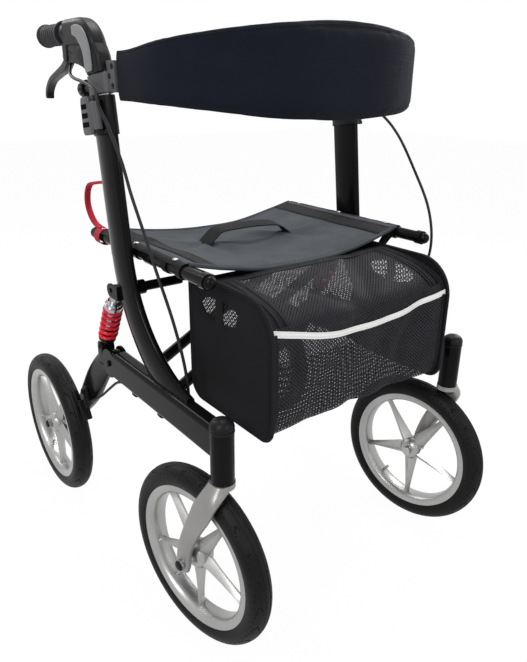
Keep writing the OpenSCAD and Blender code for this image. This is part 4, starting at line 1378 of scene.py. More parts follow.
@dataclass
class Handles:
    """Posts, housings, grips, knobs, locks and brake levers."""

    rings: RingRepeat
    foot: tuple[float, float] = (285.2, 590.63)
    lean: float = 7.0
    bar_z: float = 915.35
    grip_from: float = 430.03
    arch: Point = (362.23, 873.35, 42.6)
    arch_base: float = 290.0
    foot_drop: float = 23.0
    web_edge: tuple[tuple[float, float], ...] = (
        (334, 857), (345, 861.5), (358, 866), (374, 869.5), (392, 872), (409.6, 873.5), (409.8, 882), (411, 888),
        (414.5, 891.8), (420, 893), (428, 893), (428, 902), (380, 902), (356, 902), (345, 896), (338, 886), (334, 872))
    foot_rings: tuple[tuple[float, float, float, float], ...] = (
        (-23, 27.5, 18, 13), (-22, 29, 19, 14), (-14, 29, 19, 14), (-6, 28.8, 19, 14), (0, 27.6, 19, 14),
        (5, 24.6, 18.5, 14), (10, 21.2, 17, 14), (15, 18, 14, 13.6), (21, 14, 10, 12))
    plate: tuple[float, ...] = (-2.0, 18.0, 262.0, 831.03, 874.03)
    clamp_left: float = 4.0
    ribs: int = 7
    lock_at: float = 188.0
    knob_at: tuple[float, float] = (252.0, 45.2)
    flutes: int = 12
    screws: tuple[tuple[float, float], ...] = ((268.0, 840.0), (268.0, 866.0), (278.0, 853.0))

    def on_post(self, along: float) -> Matrix:
        """Place on the post's own axis, at a length above the upright's bend.

        Args:
            along: The length in millimetres.

        Returns:
            The place in the handle's own axes.
        """
        a = math.radians(self.lean)
        point = Vector((0, self.foot[0] + along * math.sin(a), self.foot[1] + along * math.cos(a))) * MM
        return Matrix.Translation(point) @ Matrix.Rotation(-a, 4, "X")

    def grip(self) -> Shape:
        """Ribbed grip with a flange at its front and a rounded end.

        Returns:
            The shape in metres.
        """
        line = [(11.2, 0.2), (18.6, 0.2), (19, 1.2), (19, 4.6), (18.2, 5.8), (16.4, 6.6)]
        for k in range(self.ribs):
            s = 11 + k * 9.4
            line += [(16.5, s), (16.5, s + 5.0), (15.7, s + 6.0), (15.5, s + 7.2), (15.7, s + 8.4)]
        line += [(16.5, 78.5), (17.6, 80), (18, 81.5), (18, 85), (17, 87), (14, 88), (0.5, 88.2)]
        place = Vector((0, self.grip_from, self.bar_z)) * MM
        return solid(lathe(line, 72)).moved(Matrix.Translation(place) @ Matrix.Rotation(-math.pi / 2, 4, "X"))

    def insert(self) -> Shape:
        """Pale insert let into the outer face of the arch and of its foot.

        Returns:
            The shape in metres.
        """
        y0, z0, r = self.arch
        lean = math.radians(self.lean)
        rings = []
        for k in range(45):
            share = k / 44
            a = math.radians(min(84 + 118 * share, 180 - self.lean))
            down = max(share - 0.754, 0.0) / 0.246 * (self.foot_drop - 3)
            half = 12.4 * min(1.0, 0.5 + 1.4 * share, 0.8 + 2.4 * (1 - share))
            mid = Vector((-15.1, y0 + r * math.cos(a) - down * math.sin(lean),
                          z0 + r * math.sin(a) - down * math.cos(lean)))
            out = Vector((0, math.cos(a), math.sin(a)))
            rings.append([(mid + out * p + Vector((q, 0, 0))) * MM for p, q in oval_ring(28, half, 1.7, 0.4)])
        return solid(skin(rings))

    def web(self) -> Shape:
        """Foot of the arch down the post, and the web between the arch and the lever's cheeks.

        Returns:
            The shape in metres.
        """
        foot = [[Vector((b, a if a > 0 else a * front / rear, self.arch_base + rise)) * MM
                 for a, b in oval_ring(48, rear, wide, 0.5)] for rise, front, rear, wide in self.foot_rings]
        made = solid(skin(foot).moved(self.on_post(0)))
        mid = Vector((0, *[sum(c) / len(self.web_edge) for c in zip(*self.web_edge)]))
        rings = []
        for x, share in ((-8.5, 0.96), (-7.6, 1.0), (7.6, 1.0), (8.5, 0.96)):
            rings.append([(mid + (Vector((0, y, z)) - mid) * share + Vector((x, 0, 0))) * MM
                          for y, z in self.web_edge])
        return made.add(solid(skin(rings)))

    def low_clamp(self, side: Side) -> Callable[[Vector, Vector], Vector]:
        """Gives the move that ends the bracket's clamp where the arch's foot begins.

        Args:
            side: The handle's side.

        Returns:
            The move, which leaves the plate beside the clamp as it is.
        """
        there = side_place(side, POST_IN)
        back, onto = there.inverted(), self.on_post(0).inverted()
        limit = self.arch_base - self.foot_drop

        def move(point: Vector, _: Vector) -> Vector:
            """Lowers a point of the clamp's top.

            Args:
                point: A point of the bracket.

            Returns:
                Its new place.
            """
            near = back @ point
            along = onto @ near
            x, y, z = near / MM
            faces = zip((x, x, y, z, z), self.plate)
            top, left = along.z / MM, self.clamp_left
            if top < limit - left or any(abs(a - b) < 0.3 for a, b in faces):
                return point
            along.z = (limit - left + (top - limit + left) * left / (self.foot_drop + left)) * MM
            return there @ self.on_post(0) @ along
        return move

    def lock(self) -> tuple[Shape, Shape]:
        """Shell of the height lock and three dark strips in its face, painted shade where its slots are.

        Returns:
            The shell and the painted slot shade.
        """
        rings, slots = [], Shape()
        for k in range(25):
            t = k / 24
            ends = max(1 - (2 * t - 1) ** 6, 0.0) ** 0.5 * 0.22 + 0.78
            half = (18.5 - 4.0 * t) * ends
            rings.append([Vector((-23.2 + a * ends, 7 + b, -6 + 54 * t)) * MM
                          for a, b in oval_ring(40, 4.9, half, 0.55)])
        for k in range(3):
            line = [Vector((-27.85, 7 + s * (11.5 - k), 8.5 + 12.8 * k)) * MM for s in np.linspace(-1, 1, 9)]
            slots.add(flat_tape(line, 0.0074, 0.0011, Vector((0, 0, 1))))
        return solid(skin(rings)), solid(slots)

    def knob(self) -> tuple[Shape, bpy.types.Mesh]:
        """Clamp knob: its body, and the flutes round it.

        Returns:
            The body and the flutes.
        """
        side = [(0.5, -0.4), (11.4, -0.4), (12.3, 0.6), (12.3, 14.6), (11, 16.2), (7, 16.8), (0.5, 17)]
        body = solid(lathe(side, 60))
        flute = bead(0.0135, 0.0042, 0.0034).moved(Matrix.Translation(Vector((7.4, 0, 12.3)) * MM))
        mesh = self.rings.bake("knob_flutes", flute.to_mesh("flute"), SATIN_BLACK, Count=self.flutes)
        mesh.transform(Matrix.Rotation(-math.pi / 2, 4, "Y"))
        return body, mesh

    def build(self) -> None:
        """Dresses both handles."""
        grip, insert, web = self.grip(), self.insert(), self.web()
        shell, slots = self.lock()
        body, flutes = self.knob()
        screw = solid(lathe([(0.3, 1.5), (1.2, 1.5), (1.4, 0.9), (3.2, 1.3), (4.1, 0.7), (4.3, 0), (4.3, -1)], 24))
        face_out = Matrix.Rotation(-math.pi / 2, 4, "Y")
        for side in Side:
            handle, where = side.node("handle"), side_place(side, POST_IN)
            dress(side.node("handle_post"), POST_SILVER)
            for name, finish, rider, slot, grid in (
                    ("handle_housing", SATIN_BLACK, handle, "black_plastic", 1.2),
                    ("backrest_bracket", WARM_GREY, handle, "grey_plastic", 1.1),
                    ("height_lock", WARM_GREY, side.node("lock"), "grey_plastic", 0.9),
                    ("brake_lever", BLACK_LEVER, side.node("lever"), "lever_plastic", 0.8)):
                move = self.low_clamp(side) if name == "backrest_bracket" else None
                round_off(side.node(name), finish, rider, grid, 5, move)
            emit(f"{handle}_web", web.moved(where), SATIN_BLACK, handle)
            emit(f"{handle}_insert", insert.moved(where), PALE_GREY, handle,
                 [side.node("handle_cover")])
            hold = where @ self.on_post(self.lock_at)
            emit(side.node("lock_shell"), shell.moved(hold), WARM_GREY, side.node("lock"))
            # dark strips on the lock's face: painted shade inside its slots
            emit(side.node("lock_slots"), slots.moved(hold), SLOT_SHADE, side.node("lock"))
            emit(f"{handle}_grip_rubber", grip.moved(where), GRIP_RUBBER, handle, [side.node("grip")])
            along, behind = self.knob_at
            seat = where @ self.on_post(along) @ Matrix.Translation(Vector((0, behind, 0)) * MM)
            turn = seat @ Matrix.Rotation(-math.pi / 2, 4, "X")
            emit(f"{handle}_knob", body.moved(turn), SATIN_BLACK, handle)
            emit(f"{handle}_knob_flutes", placed(flutes.copy(), turn), SATIN_BLACK, handle)
            for k, (y, z) in enumerate(self.screws):
                spot = where @ Matrix.Translation(Vector((-1.7, y, z)) * MM) @ face_out
                emit(f"{handle}_screw_{k + 1}", screw.moved(spot), SATIN_BLACK, handle)


@dataclass
class Cables:
    """Brake cables from lever to shoe."""

    thick: float = 5.0
    low: tuple[Point, ...] = (
        (18, 118, 380), (14, 128, 352), (2, 146, 347.5), (0, 185, 347.5), (0, 250, 347.5), (0, 305, 347),
        (-1, 338, 338), (-4, 368, 315), (-8, 400, 288), (-11, 430, 268), (-14, 448, 256))
    left: tuple[Point, ...] = (
        (2, 418, 871), (-9, 399, 858), (-15, 374, 851), (-16, 342, 846), (-17, 312, 841), (-19, 284, 831),
        (-20, 275, 812), (-14, 264, 786), (-5, 246, 738), (-1, 229, 690), (4, 208, 640), (9, 184, 583),
        (15, 150, 510), (18.5, 126, 440))
    right: tuple[Point, ...] = (
        (2, 418, 871), (14, 392, 856), (25, 352, 846), (25.5, 318, 836), (21, 290, 820), (8, 262, 806),
        (-3, 224, 795), (-9, 182, 760), (-11, 138, 702), (-10, 94, 634), (-6, 77, 567), (7, 86, 500), (17, 110, 430))

    def build(self) -> None:
        """Makes both cables."""
        for side in Side:
            where = side_place(side)
            points = (self.left if side is Side.LEFT else self.right) + self.low
            path = [where @ (Vector(p) * MM) for p in smooth(points, 8)]
            wire = solid(round_wire(path, self.thick * MM, 14))
            made = emit(side.node("cable"), wire, CABLE_BLACK, "", [side.node("brake_cable")])
            x = side.value * SIDE_X * MM
            side.node("frame")
            side.node("handle")
            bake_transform(made)


@dataclass
class Seat:
    """Sling seat with edge sleeves on the rails, rivets, two slots and the strap that lifts it."""

    trail: PathRepeat
    rail_x: float = 228.0
    rail_z: float = 590.0
    sag: float = 32.0
    span: tuple[float, float] = (130.0, 440.0)
    slots: tuple[tuple[float, float], ...] = ((-90.0, 292.0), (86.0, 288.0))
    creases: tuple[tuple[float, float], ...] = (
        (12.0, 3.6), (58.0, -3.0), (104.0, 3.4), (150.0, 4.2), (196.0, -3.2), (232.0, 4.4), (284.0, -3.4), (326.0, 4.0))
    kept: float = 0.57433
    dip: float = 17.0
    dip_from: tuple[float, float] = (8.0, 298.0)
    dip_over: tuple[float, float] = (54.0, 26.0)
    wrap: tuple[float, float] = (-30.0, 142.0)
    sleeve_faces: tuple[float, float] = (12.9, 12.1)
    rivets: tuple[float, ...] = (160.0, 285.0, 410.0)
    edges: tuple[float, float] = (-187.0, 196.0)
    edge_stitches: tuple[float, ...] = (-200.0, -174.0, 183.0, 209.0)

    def height(self, x: float, y: float) -> float:
        """Height of the sling's face, with the creases that run from the slots and the dip under the loop.

        Args:
            x: Place across in millimetres.
            y: Place along in millimetres.

        Returns:
            The height.
        """
        r = (self.rail_x ** 2 + self.sag ** 2) / (2 * self.sag)
        z = self.rail_z - self.sag + 14.5 + r - math.sqrt(r * r - x * x)
        edge = min(1.0, (self.rail_x - abs(x)) / 60)
        for k, (sx, sy) in enumerate(self.slots):
            dx, dy = x - sx, y - sy
            far, turn = math.hypot(dx, dy * 0.8), math.atan2(dy, dx)
            for way, rise in self.creases:
                off = math.remainder(turn - math.radians(way) * (1 - 2 * k), math.tau)
                across = math.exp(-(off * max(far, 12) / (7 + 0.14 * far)) ** 2)
                z += rise * edge * across * math.exp(-((far - 38) / 44) ** 2)
            z += 2.2 * math.exp(-(far / 20) ** 2)
        z += edge * 3.0 * noise.noise(Vector((x * 0.010, y * 0.014, 3.7)))
        z -= 1.5 * math.exp(-((self.rail_x - abs(x)) / 7) ** 2)
        beside = clamp((x + self.rail_x - self.dip_from[0]) / self.dip_over[0])
        behind = clamp((y - self.dip_from[1]) / self.dip_over[1])
        z -= self.dip * (1 - smoothstep(beside)) * smoothstep(behind)
        return z - edge * 2.0 * math.exp(-((y - self.span[0]) / 26) ** 2)

    def sleeve(self, side: Side) -> Shape:
        """Black edge that wraps the rail.

        Args:
            side: The rail's side.

        Returns:
            The shape in metres.
        """
        start, end = (math.radians(d) for d in self.wrap)
        ring = []
        for r, a, b in zip(self.sleeve_faces, (start, end), (end, start)):
            ring += [(r * math.cos(t), r * math.sin(t)) for t in np.linspace(a, b, 22)]
        rows = []
        for y in np.linspace(*self.span, 40):
            puff = 1 + 0.012 * math.sin(y * 0.21) + 0.01 * math.sin(y * 0.083 + 1)
            rows.append([at(-self.rail_x + p * puff, y, self.rail_z + q * puff) for p, q in ring])
        return solid(skin(rows)).for_side(side)

    def band(self, x: float) -> Shape:
        """Black strip sewn along the sling beside a rail.

        Args:
            x: Middle of the strip in millimetres.

        Returns:
            The shape in metres.
        """
        rows = []
        for y in np.linspace(self.span[0] + 1, self.span[1] - 1, 60):
            rows.append([at(x + d, y, self.height(x + d, y) + h) for d, h in (
                (-17, 0.2), (-16, 1.3), (-8, 1.6), (0, 1.6), (8, 1.6), (16, 1.3), (17, 0.2), (0, -0.6))])
        return solid(skin(rows))

    def strap(self) -> Shape:
        """Webbing looped through the slots, standing a little above the sling.

        Returns:
            The shape in metres.
        """
        (ax, ay), (bx, by) = self.slots
        line = [(ax - 5, ay, self.height(ax - 5, ay) - 5), (ax + 1, ay, self.height(ax, ay) + 2),
                (ax + 13, ay + 1, 594), (ax + 24, ay + 2, 601), (ax + 40, ay + 2, 603.5), (0, ay, 604.5),
                (bx - 44, by + 1, 603), (bx - 25, by, 600), (bx - 11, by, 593),
                (bx, by, self.height(bx, by) + 2), (bx + 5, by, self.height(bx + 5, by) - 5)]
        return solid(flat_tape([at(*p) for p in smooth(line, 8)], 0.031, 0.0026, Vector((0, 1, 0.35))))

    def patch(self, x: float, y: float) -> Shape:
        """Reinforced slot: a stitched oval on the sling.

        Args:
            x: The slot's place across.
            y: Its place along.

        Returns:
            The shape in metres.
        """
        rows = []
        for scale, lift in ((0.02, 0.9), (0.55, 1.3), (0.9, 1.3), (1.0, 0.3)):
            rows.append([at(x + a * scale, y + b * scale, self.height(x + a * scale, y + b * scale) + lift)
                         for a, b in oval_ring(32, 8, 19, 0.6)])
        return skin(rows, caps=False)

    def build(self) -> None:
        """Makes the seat."""
        xs = np.linspace(-self.rail_x + 3, self.rail_x - 3, 121)
        ys = np.linspace(self.span[0], self.span[1], 101)
        rows = [[at(x, y, self.height(x, y)) for x in xs] for y in ys]
        flat = (0.466, 0.310)
        sling = cushion_grid(rows, flat)
        anchor = tuple(at(3 - self.rail_x, 0, self.rail_z))
        soft = [emit("seat_cloth", sling, SLATE_CLOTH, "left_rail", ["seat_sling"], ALL_SMOOTH)]
        for side in Side:
            rail = side.node("rail")
            emit(f"{rail}_seat_sleeve", self.sleeve(side), BLACK_TAPE, rail)
            rivets = [[at(side.value * self.rail_x, y, self.rail_z + 13.1) for y in self.rivets]]
            dots = self.trail.run(f"{rail}_rivets", rivets, bead(0.009, 0.009, 0.004), 0.1249, STEEL)
            emit(f"{rail}_seat_rivets", dots, STEEL, rail)
        for side, x in zip(Side, self.edges):
            soft.append(emit(f"seat_edge_{side.word}", self.band(x), BLACK_TAPE, "left_rail"))
        for k, spot in enumerate(self.slots):
            soft.append(emit(f"seat_slot_{k + 1}", self.patch(*spot), BLACK_TAPE, "left_rail"))
        hems = Shape()
        for y in self.span:
            hems.add(round_wire([at(x, y, self.height(x, y) - 1.5) for x in np.linspace(-223, 223, 94)], 0.007, 12,
                                (0, 0.2, 1)))
        soft.append(emit("seat_hems", solid(hems), SLATE_CLOTH, "left_rail"))
        soft.append(emit("seat_strap", self.strap(), BLACK_TAPE, "left_rail"))
        seams = [[at(x, y, self.height(x, y) + 0.9) for x in np.linspace(-206, 206, 120)]
                 for y in (self.span[0] + 7, self.span[1] - 7)]
        seams += [[at(x, y, self.height(x, y) + 1.7) for y in np.linspace(136, 434, 90)]
                  for x in self.edge_stitches]
        thread = self.trail.run("seat_seams", seams, bead(0.0034, 0.0009, 0.0008), 0.0046, BLACK_TAPE)
        soft.append(emit("seat_stitches", thread, SATIN_BLACK, "left_rail"))
        for piece in soft:
            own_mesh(piece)


def planar(shape: Shape, a: int, b: int) -> Shape:
    """The shape with UVs in metres read straight from two of its axes."""
    shape.uvs = [[(shape.points[i][a], shape.points[i][b]) for i in f] for f in shape.faces]
    return shape


@dataclass
class Basket:
    """Soft basket under the seat: two stiff side panels and one net that goes round between them."""

    trail: PathRepeat
    panel_x: float = 188.0
    net_x: float = 185.6
    box: tuple[float, float, float, float] = (-26.0, 188.0, 360.0, 572.0)
    corners: tuple[float, float, float, float] = (30.0, 26.0, 62.0, 14.0)
    hole: tuple[float, float, float, float] = (102.0, 529.0, 53.0, 19.5)
    hangers: tuple[float, ...] = (137.0, 178.0)
    profile: tuple[tuple[float, float], ...] = (
        (120, 570), (70, 566), (20, 556), (-12, 540), (-21, 515), (-23, 470), (-23, 406), (-16, 374), (6, 364),
        (80, 363), (152, 365), (178, 380), (185, 426), (185, 500), (185, 557))
    strip: tuple[tuple[float, float], ...] = (
        (-185, 531), (-141, 520), (-96, 509), (-51, 503), (10, 501.5), (68, 505), (125, 512), (185, 521))
    folds: tuple[tuple[float, float, float, float, float], ...] = (
        (-60, 0.13, 0.0006, 24, 7.0), (45, 0.12, -0.0008, 20, 8.0), (105, 0.34, -0.0013, 30, 15.0),
        (-70, 0.36, -0.0009, 24, 6.5), (10, 0.38, -0.0011, 20, 8.0), (-130, 0.33, 0.0008, 18, 4.5))
    turns: tuple[float, float] = (0.47, 0.72)
    kept: float = 0.48397
    cut: tuple[list[tuple[float, float]], list[tuple[float, float]], list[float]] = field(init=False)

    def __post_init__(self) -> None:
        """Lays out the net's profile."""
        self.cut = self.lines()

    def outline(self) -> list[tuple[float, float]]:
        """Edge of a side panel as (y, z), with its four corner rounds.

        Returns:
            Points in millimetres.
        """
        y0, y1, z0, z1 = self.box
        rear_low, front_low, front_top, rear_top = self.corners
        made = []
        for cy, cz, r, start in ((y1 - rear_low, z0 + rear_low, rear_low, -90),
                                 (y1 - rear_top, z1 - rear_top, rear_top, 0),
                                 (y0 + front_top, z1 - front_top, front_top, 90),
                                 (y0 + front_low, z0 + front_low, front_low, 180)):
            for k in range(13):
                t = math.radians(start + 7.5 * k)
                made.append((cy + r * math.cos(t), cz + r * math.sin(t)))
        return made

    def edge_at(self, turn: float) -> tuple[float, float]:
        """Where a ray from the hand hole's middle meets the panel's edge.

        Args:
            turn: The ray's angle in radians.

        Returns:
            The point as (y, z).
        """
        cy, cz = self.hole[:2]
        way = (math.cos(turn), math.sin(turn))
        line = self.outline()
        best = 0.0
        for (ay, az), (by, bz) in zip(line, line[1:] + line[:1]):
            ey, ez = by - ay, bz - az
            cross = way[0] * ez - way[1] * ey
            if abs(cross) < 1e-9:
                continue
            far = ((ay - cy) * ez - (az - cz) * ey) / cross
            share = ((ay - cy) * way[1] - (az - cz) * way[0]) / cross
            if far > 0 and -1e-6 <= share <= 1 + 1e-6:
                best = max(best, far)
        return cy + way[0] * best, cz + way[1] * best

    def panel(self) -> Shape:
        """Left side panel: padded cloth round the hand hole, a little full in its middle.

        Returns:
            The shape in metres.
        """
        cy, cz, half_y, half_z = self.hole
        turns = [math.tau * k / 168 for k in range(168)]
        rims = [self.edge_at(t) for t in turns]
        holes = []
        for t in turns:
            r = 1 / math.sqrt((math.cos(t) / half_y) ** 2 + (math.sin(t) / half_z) ** 2)
            holes.append((cy + r * math.cos(t), cz + r * math.sin(t)))
        rings = []
        shares = [0.0, 0.03, 0.1, 0.2, 0.32, 0.45, 0.58, 0.7, 0.82, 0.92, 0.975, 1.0]
        for face, order in ((-1, shares), (1, shares[::-1])):
            for s in order:
                ring = []
                for (hy, hz), (ry, rz) in zip(holes, rims):
                    y, z = hy + (ry - hy) * s, hz + (rz - hz) * s
                    full = 1.4 + math.sin(math.pi * s) ** 0.5
                    full += 0.35 * noise.noise(Vector((y * 0.02, z * 0.014, face * 2.0)))
                    ring.append(at(-self.panel_x + face * (full if 0.0 < s < 1.0 else 0.7), y, z))
                rings.append(ring)
        return planar(solid(skin(rings, closed=True)), 1, 2)

    def hole_net(self) -> Shape:
        """Net behind the hand hole.

        Returns:
            The shape in metres.
        """
        cy, cz, half_y, half_z = self.hole
        rings = [[at(-self.panel_x + 0.4, cy + a * s, cz + b * s) for a, b in oval_ring(48, half_y + 3, half_z + 3)]
                 for s in (0.02, 0.5, 1.0)]
        return planar(skin(rings, caps=False), 1, 2)

    def hanger(self, y: float) -> Shape:
        """Tape that hangs a panel from its rail.

        Args:
            y: Place along the rail in millimetres.

        Returns:
            The shape in metres.
        """
        loop = [(-190.5, 563), (-192.5, 570), (-200, 580), (-211, 592)]
        loop += [(-228 + 11.6 * math.cos(math.radians(d)), 590 + 11.6 * math.sin(math.radians(d)))
                 for d in (40, 80, 120, 160, 200, 240, 280, 315)]
        loop += [(-213, 581), (-203, 573), (-195, 567), (-192.2, 561)]
        line = smooth([(x, y, z) for x, z in loop], 4)
        return solid(flat_tape([at(*p) for p in line], 0.013, 0.0014, Vector((0, 1, 0))))

    def fold(self, x: float, share: float) -> float:
        """How far the net is drawn in, in millimetres, at a place across it and a share along it.

        Args:
            x: The place across.
            share: The share along.

        Returns:
            The depth.
        """
        e = min(1.0, (self.net_x - abs(x)) / 50)
        deep = 0.0
        for px, ps, slope, wide, rise in self.folds:
            middle = px + (share - ps) / slope * 0.35
            along = math.exp(-((share - ps) / 0.11) ** 2)
            deep += rise * math.exp(-((x - middle) / wide) ** 2) * along
        deep += 2.6 * (0.5 + 0.5 * noise.noise(Vector((x * 0.013, share * 9, 1.3))))
        return deep * e

    def lines(self) -> tuple[list[tuple[float, float]], list[tuple[float, float]], list[float]]:
        """The net's profile, its inward direction and the share along it at each point.

        Returns:
            The profile, the directions and the shares.
        """
        line = smooth(self.profile, 9)
        far = [0.0]
        for a, b in zip(line, line[1:]):
            far.append(far[-1] + math.dist(a, b))
        inward = []
        for k in range(len(line)):
            a, b = line[max(k - 1, 0)], line[min(k + 1, len(line) - 1)]
            d = math.dist(a, b)
            inward.append((-(b[1] - a[1]) / d, (b[0] - a[0]) / d))
        return line, inward, [f / far[-1] for f in far]

    def net_point(self, x: float, share: float, lift: float = 0.0) -> Vector:
        """Point of the net across at x and a share along, lifted outward by some millimetres.

        Args:
            x: The place across.
            share: The share along.
            lift: The lift.

        Returns:
            The point.
        """
        line, inward, shares = self.cut
        y, z, ny, nz = (float(np.interp(share, shares, [p[k] for p in way])) for way in (line, inward) for k in (0, 1))
        deep = self.fold(x, share) - lift
        return at(x, y + ny * deep, z + nz * deep)

    def share_at(self, z: float) -> float:
        """Share along the net where its front is at a height.

        Args:
            z: The height in millimetres.

        Returns:
            The share.
        """
        line, _, shares = self.cut
        front = [(p[1], s) for p, s in zip(line, shares) if p[0] < 21 and p[1] > 380]
        front.sort()
        return float(np.interp(z, [f[0] for f in front], [f[1] for f in front]))

    def build(self) -> None:
        """Makes the basket."""
        long = sum(math.dist(a, b) for a, b in zip(self.cut[0], self.cut[0][1:])) * MM
        wide, soft = 2 * self.net_x * MM, []
        low, high = self.turns
        for name, finish, a, b in (("basket_net", BLACK_NET, 0.0, low), ("basket_floor", CLOSE_NET, low, high),
                                   ("basket_back", BACK_NET, high, 1.0)):
            rows = [[self.net_point(x, s) for x in np.linspace(-self.net_x, self.net_x, 97)]
                    for s in np.linspace(a, b, round(200 * (b - a)))]
            flat = (wide, long * (b - a))
            soft.append(emit(name, cushion_grid(rows, flat), finish, "left_rail", ["basket_mesh"],
                             ALL_SMOOTH))
            LOG.info("%s cut %.3f by %.3f m", name, *flat)
        line = [self.net_point(x, self.share_at(z), 1.0) for x, z in smooth(self.strip, 8)]
        soft.append(emit("basket_bright_strip", solid(flat_tape(line, 0.010, 0.0012, Vector((0, 0, 1)))), BRIGHT_TAPE,
                         "left_rail"))
        ends = self.share_at(537)
        zips = [[self.net_point(x, s, 1.6) for s in np.linspace(0.012, ends, 60)] for x in (-170, -158, 158, 170)]
        teeth = self.trail.run("basket_zip_teeth", zips, bead(0.0024, 0.0055, 0.002), 0.0029, SATIN_BLACK)
        soft.append(emit("basket_zips", teeth, SATIN_BLACK, "left_rail"))
        tapes = Shape()
        for x in (-164, 164):
            tapes.add(flat_tape([self.net_point(x, s, 0.7) for s in np.linspace(0.005, ends, 60)], 0.026, 0.0012,
                                Vector((1, 0, 0))))
        for s in (0.0, 0.99):
            tapes.add(flat_tape([self.net_point(x, s, 0.5) for x in np.linspace(-184, 184, 70)], 0.016, 0.0018,
                                Vector((0, 1, 0.1)) if s == 0.0 else Vector((0, 0, 1))))
        for x in (-181, 181):
            tapes.add(flat_tape([self.net_point(x, s, 0.4) for s in np.linspace(0, 1, 180)], 0.008, 0.0016,
                                Vector((1, 0, 0))))
        soft.append(emit("basket_bindings", solid(tapes), BLACK_TAPE, "left_rail"))
        anchor = tuple(at(-self.net_x, 0, 460))
        for piece in soft:
            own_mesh(piece)
        self.sides()

    def sides(self) -> None:
        """Makes the side panels with their piping, hand holes and hangers."""
        panel, net = self.panel(), self.hole_net()
        cy, cz, half_y, half_z = self.hole
        edge = [at(-self.panel_x, y, z) for y, z in self.outline()]
        rim = [at(-self.panel_x, cy + a, cz + b) for a, b in oval_ring(64, half_y + 0.6, half_z + 0.6)]
        piping = round_wire(edge, 0.0052, 12, (1, 0, 0), True).add(round_wire(rim, 0.0042, 10, (1, 0, 0), True))
        piping = solid(piping)
        bar = [at(-self.panel_x - 1.2, cy + 2, z) for z in np.linspace(cz - half_z - 7, cz + half_z + 7, 20)]
        tape = solid(flat_tape(bar, 0.020, 0.0016, Vector((0, 1, 0))))
        hang = Shape()
        for y in self.hangers:
            hang.add(self.hanger(y))
        seam = [at(-self.panel_x - 2.4, *self.inset(p, 8)) for p in self.outline()]
        stitch = self.trail.run("panel_seam", [seam + seam[:1]], bead(0.0034, 0.0009, 0.0008), 0.0048, BLACK_TAPE)
        for side in Side:
            rail, word = side.node("rail"), f"basket_{side.word}"
            cloth = emit(f"{word}_side", panel.for_side(side), BLACK_CLOTH, rail, [f"{word}_panel"])
            emit(f"{word}_piping", piping.for_side(side), BLACK_TAPE, rail)
            hole = emit(f"{word}_hole_net", net.for_side(side), OPEN_NET, rail, angle=ALL_SMOOTH)
            emit(f"{word}_hole_strap", tape.for_side(side), BLACK_TAPE, rail)
            emit(f"{word}_hangers", hang.for_side(side), BLACK_TAPE, rail)
            mesh = placed(stitch.copy(), Matrix.Diagonal((-side.value, 1, 1, 1)))
            emit(f"{word}_stitches", mesh, SATIN_BLACK, rail)

    def inset(self, p: tuple[float, float], by: float) -> tuple[float, float]:
        """A point of the panel's edge drawn in towards its middle.

        Args:
            p: The point as (y, z).
            by: The distance in millimetres.

        Returns:
            The new point.
        """
        y0, y1, z0, z1 = self.box
        cy, cz = (y0 + y1) / 2, (z0 + z1) / 2
        return cy + (p[0] - cy) * (1 - 2 * by / (y1 - y0)), cz + (p[1] - cz) * (1 - 2 * by / (z1 - z0))


@dataclass(frozen=True)
class Filling:
    """Cloth simulation that swells a padded piece, carried over to the piece's own finer sections."""

    grid: float = 4.5
    push: float = 4.0
    steps: int = 20
    cap: float = 3.0
    hold: float = 12.0
    near: int = 8
    quality: int = 6

    def bag(self, slack: Shape) -> bpy.types.Object:
        """An even skin of a slack shape, held at its left and right ends, with the simulation on it.

        Args:
            slack: The closed shape before it is filled.

        Returns:
            The skin's object.
        """
        made = link("filling", slack.to_mesh("filling"))
        even = made.modifiers.new("even", "REMESH")
        even.mode, even.voxel_size = "VOXEL", self.grid * MM
        skinned = baked(made)
        made.data = skinned
        reach = max(abs(v.co.x) for v in skinned.vertices) - self.hold * MM
        ends = made.vertex_groups.new(name="ends")
        ends.add([v.index for v in skinned.vertices if abs(v.co.x) > reach], 1.0, "REPLACE")
        cloth = made.modifiers.new("fill", "CLOTH")
        cloth.settings.use_pressure = True
        cloth.settings.uniform_pressure_force = self.push
        cloth.settings.effector_weights.gravity = 0.0
        cloth.settings.vertex_group_mass = ends.name
        cloth.settings.quality = self.quality
        cloth.point_cache.frame_start, cloth.point_cache.frame_end = 1, self.steps
        return made

    def fill(self, slack: Shape, rings: list[list[Vector]]) -> list[list[Vector]]:
        """Moves a piece's sections as its filling swells it.

        Args:
            slack: The closed shape before it is filled.
            rings: The sections that the shape was made from.

        Returns:
            The sections after the filling.
        """
        scene = bpy.context.scene
        bag = self.bag(slack)
        for k in range(1, self.steps + 1):
            scene.frame_set(k)
        full = bag.evaluated_get(bpy.context.evaluated_depsgraph_get()).to_mesh()
        tree, pulls = kdtree.KDTree(len(full.vertices)), []
        for a, b in zip(bag.data.vertices, full.vertices):
            tree.insert(a.co, a.index)
            pull = b.co - a.co
            far = max(pull.length / MM, 1e-6)
            pulls.append(pull * (self.cap * math.tanh(far / self.cap) / far))
        tree.balance()
        LOG.info("filling: %d points, moved up to %.1f mm", len(pulls), max(p.length for p in pulls) / MM)
        made = []
        for ring in rings:
            made.append([])
            for p in ring:
                share, move = 0.0, Vector()
                for _, index, far in tree.find_n(p, self.near):
                    weight = math.exp(-(far / (1.4 * self.grid * MM)) ** 2)
                    share, move = share + weight, move + pulls[index] * weight
                made[-1].append(p + move / share)
        scene.frame_set(1)
        bpy.data.objects.remove(bag)
        return made


